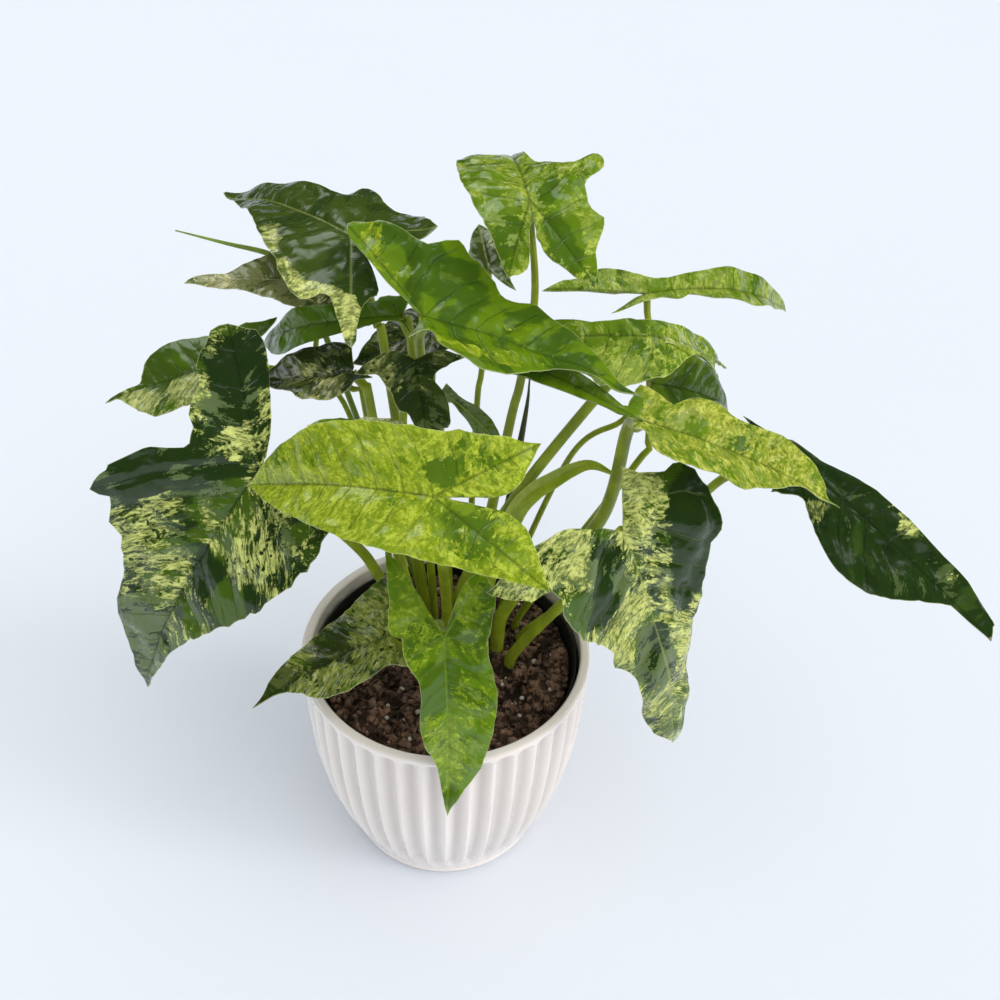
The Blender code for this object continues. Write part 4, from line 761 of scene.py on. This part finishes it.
def leaf_material(name, look, seed, spacing):
    """Green blotches under a net of light speckle that runs along the side veins and leaves dark pits."""
    m = Shader(name)
    s, t, edge = m.attribute("vein")
    u, v, under = m.attribute("flat")
    pale, toned, dark = m.attribute("tint")
    shift = 11.7 * seed
    plain = m.swirl(m.join(u, v, shift + 5.0), 0.10, 7.0)
    along = m.swirl(m.join(s, m.times(t, look["run"]), shift), 0.13, 5.0)
    blotch = m.noise(along, 0.055, 3.0, 0.55)
    patch = m.noise(plain, 0.075, 2.0, 0.5)
    speckle = m.noise(along, 0.33, 6.0, 0.72)
    grain = m.noise(plain, 1.1, 4.0, 0.72)
    band = m.noise(along, 0.15, 4.0, 0.62)

    # The greens: two that meet in blotches, deeper bands in them, and patches of the middle tone
    first, second = look["greens"]
    second_at = m.math("SUBTRACT", m.plus_times(blotch, grain, 0.12), dark)
    greens = m.mix(m.step(second_at, -0.12, 0.16), first, second)
    deep_at = m.step(m.plus_times(band, grain, 0.3), 0.2, 0.9)
    greens = m.mix(m.times(deep_at, 0.5), greens, scaled(first, 0.55))
    middle_at = m.add(m.plus_times(toned, band, 0.9), m.times(m.add(patch, grain), 0.22))
    greens = m.mix(m.times(m.step(middle_at, -0.04, 0.07), 0.85), greens, look["middle"])

    # The light marbling: where it is, less its pits, and the strands of four tones it is made of
    dull = between(look["light"], second)
    light_at = m.add(m.plus_times(pale, speckle, 0.95), m.plus_times(m.times(patch, 0.55), grain, 0.22))
    pit = m.plus_times(m.times(m.cells(plain, 0.27), 2.2), speckle, 0.30)
    in_pit = m.step(m.plus_times(pit, m.math("MINIMUM", pale, 1.0), 0.12), 0.72, 0.48)
    light = m.times(m.step(light_at, -0.04, 0.10), m.rest(m.times(in_pit, look["pits"])))
    strands = m.plus_times(m.noise(along, 0.80, 5.0, 0.75), m.noise(along, 0.26, 3.0, 0.6), 0.6)
    strands = m.plus_times(strands, m.math("MINIMUM", light_at, 0.8), 0.25)
    marbling = m.mix(m.step(strands, -0.25, 0.08), between(look["light"], second, 0.75), dull)
    marbling = m.mix(m.step(strands, 0.05, 0.35), marbling, look["light"])
    marbling = m.mix(m.step(strands, 0.30, 0.70), marbling, scaled(look["light"], 1.25, 0.03))
    light = m.times(light, m.rest(m.times(m.step(strands, -0.04, -0.24), look["net"])))
    flecks = m.times(m.step(m.noise(along, 0.9, 4.0, 0.75), 0.62, 0.80), m.step(light_at, -0.9, -0.15))
    colour = m.mix(m.times(flecks, 0.75), greens, dull)
    colour = m.mix(m.times(light, 0.94), colour, marbling)

    # Side veins: thin lines where s is a whole number of spacings, and the midrib and lobe veins at t = 0.
    # Where the look's vein is below 0 they are dark, the vein's own deeper tone together with painted shade
    # of the sunken veins.
    wobble = m.plus_times(s, m.noise(plain, 0.12, 2.0), 0.7)
    cycle = m.times(m.math("PINGPONG", m.times(wobble, 1.0 / spacing), 0.5), spacing)
    side_vein = m.times(m.rest(m.step(cycle, 0.10, 0.60)), m.step(edge, 1.0, 5.0))
    rib = m.rest(m.step(m.math("ABSOLUTE", t), 0.20, 0.85))
    vein_tint_and_groove_shade = dull if look["vein"] >= 0 else scaled(first, 0.45)
    colour = m.mix(m.times(side_vein, abs(look["vein"]) * 0.7), colour, vein_tint_and_groove_shade)
    colour = m.mix(m.times(rib, 0.5), colour, vein_tint_and_groove_shade)
    rim_line = m.rest(m.step(m.plus_times(edge, grain, 0.15), 0.10, 0.45))
    colour = m.mix(m.times(rim_line, look["rim"]), colour, PALE_CREAM)
    colour = m.mix(under, colour, m.mix(0.45, colour, UNDERSIDE))

    roughness = m.plus_times(m.plus_times(0.24, grain, 0.015), under, 0.25)
    m.surface(Base_Color=colour, Roughness=roughness, Specular_IOR_Level=0.45)
    m.flesh(0.10, (0.0014, 0.0020, 0.0004))
    relief = m.plus_times(m.times(m.noise(plain, 0.13, 1.0, 0.4), 0.40), m.noise(along, 0.12, 1.0, 0.4), 0.34)
    m.bump(m.plus_times(relief, side_vein, -0.30), 0.0012, 0.8)
    return m.mat


def tube(points, radii, sides, flatten=1.0, groove=0.0):
    """A tube along the points, its section carried without twist and closed at both ends."""
    pts = [Vector(p) for p in points]
    verts, across = [], Vector((1, 0, 0))
    for i, p in enumerate(pts):
        ahead = (pts[min(i + 1, len(pts) - 1)] - pts[max(i - 1, 0)]).normalized()
        across = (across - ahead * across.dot(ahead)).normalized()
        other = ahead.cross(across)
        for k in range(sides):
            angle = 2 * math.pi * k / sides
            dent = 1.0 - groove * max(0.0, math.cos(angle - 1.2)) ** 6
            offset = across * math.cos(angle) + other * math.sin(angle) * flatten
            verts.append(tuple(p + offset * (radii[i] * dent)))
    return verts, ring_faces(len(pts), sides)


def stalk_line(leaf, base, past, steps):
    """The stalk's centre line: straight up out of its hole, past its way points, up to the blade's seat."""
    up = leaf_frame(leaf)[2]
    seat = np.array(leaf["seat"], float)
    start = np.array([*base, SOIL_TOP + 4.0])
    way = [start, *(np.array(p, float) for p in past)]
    came = seat - way[-1]
    came /= np.linalg.norm(came)
    arrive = came + up * max(0.0, 0.55 - came.dot(up))
    arrive /= np.linalg.norm(arrive)
    end = [seat - up * 1.2 - arrive * 9.0, seat - up * (BLADE / 2 + 0.2)]
    above = smooth_run(way + end, steps, lead=start - np.array([0, 0, 40.0]))
    return np.vstack([[(*base, SOIL_TOP - 6.0)], above])


def make_stalk(name, leaf, stalk, mat):
    """A leaf's stalk: tapered, grooved along one side and a little thicker where it meets the blade."""
    base, radius_base, radius_top, past = stalk
    line = stalk_line(leaf, base, past, 44)
    share = np.linspace(0, 1, len(line))
    radii = radius_base + (radius_top - radius_base) * share
    radii = radii * (1 + 0.10 * np.exp(-((share - 1) / 0.03) ** 2))
    obj = new_object("petiole_" + name, *tube(line, radii, 16, groove=0.14), mat, sharp=60)
    return settle(obj, "stalk_green", "stalk_" + name)


def stalk_material(name, base, light, seed):
    """Green with light streaks up the stalk, and browner in its first centimetres above the soil."""
    m = Shader(name)
    x, y, z = m.split(m.place())

    def stretched(across, up):
        return m.join(m.times(x, across), m.times(y, across), m.plus_times(seed, z, up))

    streak = m.noise(stretched(900.0, 90.0), 1.0, 4.0, 0.6)
    blotch = m.noise(stretched(120.0, 60.0), 1.0, 4.0, 0.65)
    colour = m.mix(m.step(blotch, -0.4, 0.8), base, scaled(base, 1.5))
    colour = m.mix(m.times(m.step(streak, 0.15, 0.75), 0.22), colour, light)
    colour = m.mix(m.times(m.rest(m.step(z, 0.112, 0.150)), 0.25), colour, STALK_FOOT)
    m.surface(Base_Color=colour, Roughness=m.plus_times(0.34, streak, 0.03), Specular_IOR_Level=0.3)
    m.flesh(0.08, (0.001, 0.0016, 0.0004))
    m.bump(streak, 0.00025, 0.6)
    return m.mat


def spear_run(spear, steps, stops, widths):
    """The spear's line, and its width along it, smoothed. Both start at its foot in the soil."""
    foot, *above = spear["line"]
    line = smooth_run(above, steps, lead=foot)
    width = np.interp(np.linspace(0, 1, len(line)), stops, widths)
    width = np.convolve(np.pad(width, 3, mode="edge"), np.ones(7) / 7, "valid")
    return np.vstack([[foot], line]), np.concatenate([[width[0]], width])


def make_spear(name, spear, mat):
    """A rolled leaf or a bare stalk: a grooved tube that swells and then runs out to a point."""
    thin, swell, start = spear["radius"], spear["swell"], spear["swell_at"]
    line, radii = spear_run(spear, 60, [0, start, start + 0.12, 0.85, 1.0],
                            [thin, thin, swell, swell * 0.7, 0.25])
    obj = new_object("spear_" + name, *tube(line, radii, 18, spear["flatten"], groove=0.3), mat, sharp=60)
    return settle(obj, "stalk_green", name)


def young_material():
    """Mottled yellow-green with a paler rim."""
    m = Shader("young_blade")
    place = m.place()
    mottle = m.noise(place, 160.0, 4.0, 0.6)
    colour = m.mix(m.step(mottle, -0.5, 0.9), *YOUNG_GREENS)
    colour = m.mix(m.times(m.attribute("rim")[0], 0.6), colour, YOUNG_RIM)
    m.surface(Base_Color=colour, Roughness=m.plus_times(0.30, mottle, 0.02), Specular_IOR_Level=0.45)
    m.bump(m.noise(place, 420.0, 2.0), 0.0002, 0.5)
    return m.mat


def make_folded(name, spear):
    """A young lance leaf still folded along its midrib, its open side towards the front and up."""
    thin, swell, start = spear["radius"], spear["swell"], spear["swell_at"]
    line, width = spear_run(spear, 72, [0, start - 0.12, start, start + 0.15, 0.80, 0.93, 1.0],
                            [thin, thin, swell * 0.85, swell * 1.05, swell * 0.85, swell * 0.4, 0.2])
    share = np.linspace(0, 1, len(line) - 1)
    opened = np.concatenate([[0.0], np.clip((share - start + 0.15) / 0.2, 0, 1)])
    around, verts, rims = 24, [], []
    for i, p in enumerate(line):
        ahead = line[min(i + 1, len(line) - 1)] - line[max(i - 1, 0)]
        ahead = ahead / np.linalg.norm(ahead)
        side = np.cross(ahead, OPEN_SIDE)
        side /= np.linalg.norm(side)
        out = np.cross(side, ahead)
        for k in range(around):
            turn = 2 * math.pi * k / around
            x, y = math.cos(turn), math.sin(turn)
            folded = 0.62 * abs(x) - 0.38 + (0.13 if y > 0 else -0.13) * (1 - abs(x) ** 3)
            height = (1 - opened[i]) * y + opened[i] * folded
            verts.append(p + width[i] * (side * x + out * height))
            rims.append(opened[i] * max(0.0, abs(x) - 0.86) / 0.14)
    obj = new_object("spear_" + name, verts, ring_faces(len(line), around), young_material(), sharp=60)
    add_field(obj, "rim", rims, rims, rims)
    return settle(obj, "young_green", name)


def lathe(profile, sides, radius_at=None):
    """A closed body turned about Z from (radius, height) points."""
    radius, height = np.repeat(np.asarray(profile, float), sides, axis=0).T
    turn = np.tile(2 * math.pi * np.arange(sides) / sides, len(profile))
    if radius_at is not None:
        radius = radius_at(radius, height, turn)
    verts = np.stack([radius * np.cos(turn), radius * np.sin(turn), height], 1)
    return verts, ring_faces(len(profile), sides)


def side_radius(height):
    """The pot's outer radius, as a smooth curve through the section's points."""
    line = smooth_run(POT_SIDE, 200)
    return np.interp(height, line[:, 0], line[:, 1])


# The real flutes are rounder and deeper than the source's three flat sides a flute, and the foot is a
# plain ring that stands a little proud
FLUTE_EXTRA = 1.2
FLUTE_TOP = POT_HEIGHT - 2.6
FLUTE_ARCH = 4.0
RING_HEIGHT, RING_OUT = 4.6, 1.1
LIP_ROUND = 1.5
GLAZE = ((0.93, 0.850, 0.790), (0.95, 0.880, 0.825))
# The second colour here, a grey-pink laid into the flute hollows, is painted shade
FLUTE_PAINTED_SHADE, GLAZE_AT_FOOT, SPECK = (0.60, 0.525, 0.475), (0.97, 0.90, 0.87), (0.10, 0.07, 0.05)


def glaze_material():
    """Glossy off-white glaze: greyer down the flutes as painted shade, pinker at the foot, with dark specks.
    """
    m = Shader("glaze")
    place = m.place()
    x, y, z = m.split(place)
    colour = m.mix(m.step(m.noise(place, 26.0, 3.0, 0.5), -0.8, 0.8), *GLAZE)
    colour = m.mix(m.times(m.rest(m.step(z, 0.004, 0.020)), 0.6), colour, GLAZE_AT_FOOT)
    # Painted shade: the flutes are greyed down their hollows, from above the foot up to under the arches
    flute_shade_share = m.plus_times(0.5, m.math("COSINE", m.times(m.math("ARCTAN2", y, x), FLUTES)), -0.5)
    flute_shade_share = m.times(flute_shade_share, m.step(z, 0.008, 0.026))
    flute_shade_share = m.times(flute_shade_share, m.rest(m.step(z, MM * FLUTE_TOP - 0.006, MM * FLUTE_TOP - 0.001)))
    colour = m.mix(m.times(flute_shade_share, 0.72), colour, FLUTE_PAINTED_SHADE)
    specks = m.rest(m.step(m.cells(place, 330.0), 0.02, 0.05))
    specks = m.times(specks, m.step(m.noise(place, 60.0), 0.55, 0.8))
    colour = m.mix(m.times(specks, 0.7), colour, SPECK)
    m.surface(Base_Color=colour, Roughness=m.plus_times(0.16, m.noise(place, 90.0), 0.02),
              Specular_IOR_Level=0.6, Coat_Weight=0.7, Coat_Roughness=0.04)
    m.bump(m.noise(place, 70.0, 2.0), 0.0003, 0.35)
    return m.mat


def make_pot():
    """Concave flutes that end in round tops under the lip and fade out above a plain foot ring."""
    heights = np.concatenate([[0.0, 0.4, 1.0, 2.0, 3.2, 4.0, 4.6, 5.2, 6.0, 7.4, 9.0, 11.0],
                              np.linspace(13, 110, 50), np.linspace(111, FLUTE_TOP, 22)])
    ring = RING_OUT * np.clip((RING_HEIGHT + 0.7 - heights) / 1.2, 0, 1)
    outside = [(float(side_radius(h) + out), float(h)) for h, out in zip(heights, ring)]
    outside[0] = (outside[1][0] - 0.9, 0.0)
    outside[1] = (outside[1][0] - 0.25, 0.4)
    quarter = [(math.cos(a), math.sin(a)) for a in np.radians(np.arange(0, 91, 15))]
    lip = [(LIP_RADIUS + 0.05, FLUTE_TOP + 0.7)]
    lip += [(LIP_RADIUS - LIP_ROUND + 1.55 * c, POT_HEIGHT - LIP_ROUND + LIP_ROUND * s) for c, s in quarter]
    lip += [(LIP_INNER_RADIUS + 1.4 - 1.4 * s, POT_HEIGHT - 1.4 + 1.4 * c) for c, s in quarter]
    inside = [(min(float(side_radius(h)) - POT_WALL, LIP_INNER_RADIUS), h)
              for h in (112.0, 100.0, 80.0, 60.0, 45.0, 30.0, 20.0, 14.0, 9.0)]
    inside += [(float(side_radius(POT_FLOOR)) - POT_WALL - 4.0, POT_FLOOR)]
    sides = FLUTES * 12
    outer_points = len(outside) * sides

    def fluted(radius, height, turn):
        """Full depth from 2.2 mm under the arch down to about 20 mm above the foot, none below 7 mm."""
        across = (turn * FLUTES / (2 * math.pi)) % 1.0 * 2 - 1
        scoop = (0.5 + 0.5 * np.cos(math.pi * across)) ** 0.72
        arch = FLUTE_ARCH * (1 - np.sqrt(np.maximum(0.0, 1 - across ** 2)))
        upper = np.clip((FLUTE_TOP - arch - height) / 2.2, 0, 1)
        lower = np.clip((height - 7.0 - 2.0 * np.abs(across)) / 13.0, 0, 1)
        ease = (upper * upper * (3 - 2 * upper)) * (lower * lower * (3 - 2 * lower))
        ease[outer_points:] = 0.0
        return radius - (FLUTE_DEPTH + FLUTE_EXTRA) * scoop * ease

    verts, faces = lathe(outside + lip + inside, sides, fluted)
    return settle(new_object("cover_pot", verts, faces, glaze_material(), sharp=50), "pot_glaze", "pot")


BLACK_PLASTIC, DUST = (0.007, 0.007, 0.008), (0.06, 0.045, 0.035)


def make_nursery_pot():
    """The thin black pot inside, with a small step under its rolled rim and a film of dust."""
    def outer(h):
        return float(np.interp(h, (POT_FLOOR, NURSERY_TOP), (NURSERY_RADIUS_FOOT, NURSERY_RADIUS_TOP)))

    floor, rim, top = POT_FLOOR + GAP, NURSERY_RADIUS_TOP, NURSERY_TOP
    section = [(outer(floor) - 1.5, floor), (outer(floor) - 0.4, floor + 0.5), (outer(floor), floor + 1.6)]
    section += [(outer(h), h) for h in (30, 60, 90, 107.0)]
    section += [(outer(108) + 0.1, 107.9), (outer(108) + 0.5, 108.3), (rim - 0.5, 109.5),
                (rim - 0.1, top - 0.8), (rim - 0.3, top - 0.2), (rim - 0.7, top),
                (rim - NURSERY_WALL + 0.3, top), (rim - NURSERY_WALL - 0.1, top - 0.4)]
    section += [(outer(h) - NURSERY_WALL, h) for h in (109.0, 90, 60, 30)]
    section += [(outer(floor) - NURSERY_WALL, floor + 1.5)]
    m = Shader("nursery_plastic")
    place = m.place()
    dust = m.noise(place, 240.0, 4.0, 0.7)
    dusty = m.step(m.plus_times(dust, m.noise(place, 40.0, 3.0, 0.6), 0.6), 0.3, 1.3)
    colour = m.mix(m.times(dusty, 0.5), BLACK_PLASTIC, DUST)
    m.surface(Base_Color=colour, Roughness=m.plus_times(0.42, dust, 0.10))
    m.bump(dust, 0.0002, 0.5)
    pot = new_object("grower_pot", *lathe(section, 144), m.mat, sharp=40)
    return settle(pot, "black_plastic", "nursery_pot")


def soil_height(x, y):
    """The source's crumbly surface, in mm."""
    bumps = 1.0 * np.sin(0.21 * x + 1.3) * np.cos(0.17 * y - 0.4) + 0.6 * np.sin(0.43 * y + 0.31 * x)
    return SOIL_TOP + bumps + 1.2 * np.cos(math.pi * np.minimum(1.0, np.hypot(x, y) / SOIL_RADIUS_TOP))


def lump(rng, size, squash, rough):
    """A small closed lump: an icosphere pushed in and out by a few waves, turned at random."""
    ball = LUMP[0]
    push = sum(np.sin(ball @ rng.normal(0, 2.2, 3) + rng.uniform(0, 6)) for _ in range(3))
    turn = Matrix.Rotation(rng.uniform(0, 6.28), 3, Vector(rng.normal(0, 1, 3)))
    return ball * (1 + rough * push[:, None]) * np.array(squash) * size @ np.array(turn).T


def icosphere(levels):
    """The points and faces of a ball of radius 1."""
    ball = bmesh.new()
    bmesh.ops.create_icosphere(ball, subdivisions=levels, radius=1.0)
    points = np.array([v.co[:] for v in ball.verts])
    faces = [tuple(v.index for v in f.verts) for f in ball.faces]
    ball.free()
    return points, faces


LUMP = icosphere(2)

# The soil's own (dark, light) colours, those of the fibres, and how many fibres there are
PEAT = ((0.020, 0.011, 0.007), (0.13, 0.072, 0.045))
STRAW = ((0.10, 0.06, 0.04), (0.40, 0.29, 0.20))
FIBRES = 220
# What lies on the soil: piece, material, how many, (dark, light) colours, roughness, and for one lump its
# sizes in mm, its squash as a range or for each way, how rough its form is, and how high it sits
LITTER = (
    ("peat_lumps", "peat_crumbs", 1700, ((0.020, 0.011, 0.007), (0.40, 0.235, 0.155)), 0.45,
     (0.7, 2.3), (0.45, 1.25), 0.15, (0.1, 1.4)),
    ("bark_chips", "bark", 120, ((0.07, 0.032, 0.018), (0.34, 0.18, 0.10)), 0.6,
     (1.2, 3.0), (1.0, 0.6, 0.28), 0.07, (0.5, 1.3)),
    ("perlite_grains", "perlite", 70, ((0.42, 0.38, 0.33), (0.80, 0.76, 0.70)), 0.7,
     (0.6, 1.5), (0.7, 1.1), 0.08, (0.8, 1.6)),
)


def scatter(count, rng, sizes, squashes, rough, rises, keep_out):
    """Many small lumps on the soil, clear of the stalks."""
    shapes = []
    for _ in range(count):
        r, a = SOIL_RADIUS_TOP * math.sqrt(rng.uniform(0, 0.97)), rng.uniform(0, 2 * math.pi)
        x, y = r * math.cos(a), r * math.sin(a)
        size = rng.uniform(*sizes)
        squash = rng.uniform(*squashes, 3) if len(squashes) == 2 else squashes
        shape, rise = lump(rng, size, squash, rough), rng.uniform(*rises)
        if all(math.hypot(x - bx, y - by) >= br + 1.0 for bx, by, br in keep_out):
            shapes.append((shape + (x, y, float(soil_height(x, y)) + rise), LUMP[1]))
    return merged(shapes)


def fibre(rng, length, radius):
    """A thin curved strand lying on the soil, as a five-sided tube."""
    r, a = (SOIL_RADIUS_TOP - 6) * math.sqrt(rng.uniform(0, 1)), rng.uniform(0, 2 * math.pi)
    x, y, heading = r * math.cos(a), r * math.sin(a), rng.uniform(0, 6.28)
    bend, line = rng.uniform(-0.25, 0.25), []
    for k in range(9):
        z = float(soil_height(x, y)) + 1.1 + 1.4 * math.sin(k / 8 * math.pi) * rng.uniform(0.4, 1.0)
        line.append((x, y, z))
        heading += bend + rng.normal(0, 0.12)
        step = length / 8
        if math.hypot(x + step * math.cos(heading), y + step * math.sin(heading)) > SOIL_RADIUS_TOP - 2:
            heading += 1.2
            step *= 0.3
        x, y = x + step * math.cos(heading), y + step * math.sin(heading)
    taper = radius * (1 - 0.6 * np.linspace(0, 1, 9))
    return tube(line, taper, 5)


def crumb_material(name, dark, light, rough):
    """Something gritty, mottled from dark to light."""
    m = Shader(name)
    place = m.place()
    grit = m.noise(place, 672.0, 3.0, 0.7)
    tone = m.plus_times(m.noise(place, 105.0, 4.0, 0.65), grit, 0.4)
    m.surface(Base_Color=m.mix(m.step(tone, -0.7, 1.0), dark, light),
              Roughness=m.plus_times(rough, grit, 0.08), Specular_IOR_Level=0.4)
    m.bump(grit, 0.0005, 0.8)
    return m.mat


def make_soil():
    """The soil body with a bumpy top, and the lumps, chips, grains and fibres that lie on it."""
    rng = np.random.default_rng(31)
    rings, sides = 60, 150
    turn = 2 * math.pi * np.arange(sides) / sides
    radii = np.concatenate([SOIL_RADIUS_TOP * (np.arange(1, rings + 1) / rings) ** 0.8,
                            [SOIL_RADIUS_TOP - 0.6, SOIL_RADIUS_FOOT - 0.4]])
    x = np.concatenate([[0.0], np.outer(radii, np.cos(turn)).ravel()])
    y = np.concatenate([[0.0], np.outer(radii, np.sin(turn)).ravel()])
    z = soil_height(x, y) + 0.55 * waves(x, y, 7, rng, 6) + 0.35 * waves(x, y, 3.6, rng, 7)
    z[-2 * sides:] = np.repeat((106.0, POT_FLOOR + GAP + 1.5 + GAP), sides)
    faces = disc_faces(rings + 2, sides, closed=True) + [tuple(range(len(x) - sides, len(x)))]
    peat = crumb_material("peat", *PEAT, 0.85)
    settle(new_object("potting_soil", np.stack([x, y, z], 1), faces, peat), "soil", "soil")

    keep_out = [(*base, radius) for base, radius, _, _ in STALKS.values()]
    keep_out += [(*spear["line"][0][:2], spear["radius"]) for spear in SPEARS.values()]
    for name, look, count, colours, rough, *form in LITTER:
        points, lump_faces = scatter(count, rng, *form, keep_out)
        settle(new_object(name, points, lump_faces, crumb_material(look, *colours, rough)), "soil")
    strands = (fibre(rng, rng.uniform(4, 15), rng.uniform(0.10, 0.30)) for _ in range(FIBRES))
    points, strand_faces = merged(strands)
    straw = crumb_material("fibres", *STRAW, 0.7)
    settle(new_object("soil_fibres", points, strand_faces, straw), "soil")


# The light. An even room and a brighter ceiling, both dim where glossy surfaces mirror them, and two
# windows high up that only those surfaces see: (direction, power, cosine at which its edge starts).
# Two soft lamps, each (name, power, direction it comes from, its width in degrees, colour): a wide one
# above the front right of the pot, and a lower one at its right.
ROOM, ROOM_MIRRORED, CEILING, CEILING_MIRRORED = 0.575, 0.03, 0.38, 0.1
WINDOWS = (((-0.42, 0.42, 0.80), 3.4, 0.935), ((0.60, 0.20, 0.77), 1.8, 0.960))
LAMPS = (("overhead", 1.04, (0.34, -0.42, 1.0), 52, (1.0, 0.99, 0.965)),
         ("side", 0.80, (1.0, -0.30, 0.36), 16, (1.0, 0.965, 0.93)))
ROOM_COLOUR = (0.955, 0.98, 1.0)
FLOOR_HALF = 6.0
FLOOR_COLOURS = ((0.800, 0.838, 0.905), (0.806, 0.844, 0.911))


def make_floor():
    """A pale floor just under the pot's foot, wide enough to fill the photograph's view."""
    mesh = bpy.data.meshes.new("floor")
    corners = [(FLOOR_HALF * x, FLOOR_HALF * y, 0) for x, y in ((-1, -1), (1, -1), (1, 1), (-1, 1))]
    mesh.from_pydata(corners, [], [(0, 1, 2, 3)])
    m = Shader("pale_floor")
    colour = m.mix(m.step(m.noise(m.place(), 3.0, 2.0), -1.0, 1.0), *FLOOR_COLOURS)
    m.surface(Base_Color=colour, Roughness=0.85, Specular_IOR_Level=0.1)
    mesh.materials.append(m.mat)
    ground = bpy.data.objects.new("floor", mesh)
    bpy.context.scene.collection.objects.link(ground)
    ground.location.z = -0.0002


def make_light():
    """The plain view transform, the room and its windows in the world, and the lamps."""
    scene = bpy.context.scene
    scene.view_settings.view_transform = "Standard"
    scene.view_settings.look = "None"
    world = bpy.data.worlds.new("sky")
    scene.world = world
    world.use_nodes = True
    sky = Nodes(world.node_tree)
    x, y, z = sky.split(sky.node("TexCoord")["Generated"])
    mirrored = sky.node("LightPath")["Is Glossy Ray"]
    ceiling = sky.plus_times(CEILING, mirrored, (CEILING_MIRRORED - 1) * CEILING)
    ceiling = sky.times(sky.step(z, 0.45, 1.0), ceiling)
    window = 0.0
    for (wx, wy, wz), power, edge in WINDOWS:
        facing = sky.plus_times(sky.plus_times(sky.times(x, wx), y, wy), z, wz)
        window = sky.plus_times(window, sky.step(facing, edge, edge + 0.03), power)
    room = sky.plus_times(ROOM, mirrored, ROOM_MIRRORED - ROOM)
    strength = sky.add(sky.add(room, ceiling), sky.times(window, mirrored))
    background = sky.nodes["Background"]
    sky.put(background.inputs["Strength"], strength)
    sky.put(background.inputs["Color"], ROOM_COLOUR)

    for name, power, source, width, colour in LAMPS:
        lamp = bpy.data.lights.new(name, "SUN")
        lamp.angle = math.radians(width)
        lamp.energy = power
        lamp.color = colour
        obj = bpy.data.objects.new(name, lamp)
        obj.rotation_mode = "QUATERNION"
        obj.rotation_quaternion = Vector(source).to_track_quat("Z", "Y")
        scene.collection.objects.link(obj)
        obj.visible_glossy = False


# The camera: its yaw, downward pitch and roll in degrees, its place in metres, its lens and sensor in mm
CAMERA_TURN = (3.27, 41.83, 2.4)
CAMERA_AT = (0.0, -0.4066, 0.5825)
LENS, SENSOR = 45.0, 36.0


def make_camera():
    """The photograph's view, worked out from the pot's rim and foot."""
    yaw, pitch, roll = (math.radians(a) for a in CAMERA_TURN)
    cam = bpy.data.cameras.new("camera")
    cam.lens, cam.sensor_width = LENS, SENSOR
    cam.clip_start, cam.clip_end = 0.02, 30.0
    obj = bpy.data.objects.new("camera", cam)
    forward = Vector((math.sin(yaw) * math.cos(pitch), math.cos(yaw) * math.cos(pitch), -math.sin(pitch)))
    level = Vector((math.cos(yaw), -math.sin(yaw), 0.0))
    upright = level.cross(forward)
    right = level * math.cos(roll) + upright * math.sin(roll)
    upward = upright * math.cos(roll) - level * math.sin(roll)
    turn = Matrix((right, upward, -forward)).transposed()
    obj.matrix_world = Matrix.Translation(CAMERA_AT) @ turn.to_4x4()
    bpy.context.scene.collection.objects.link(obj)
    bpy.context.scene.camera = obj


make_camera()
make_floor()
make_light()
make_pot()
make_nursery_pot()
make_soil()
for number, (name, leaf) in enumerate(LEAVES.items()):
    make_leaf(name, leaf, {**PLAIN, **LOOKS[name]}, number + 1)
    stem = stalk_material("petiole_" + name, *STALK_GREENS, number * 3.1)
    make_stalk(name, leaf, STALKS[name], stem)
for name, spear in SPEARS.items():
    if name == "young_leaf":
        make_folded(name, spear)
    else:
        make_spear(name, spear, stalk_material(name, *SPEAR_GREENS[name]))
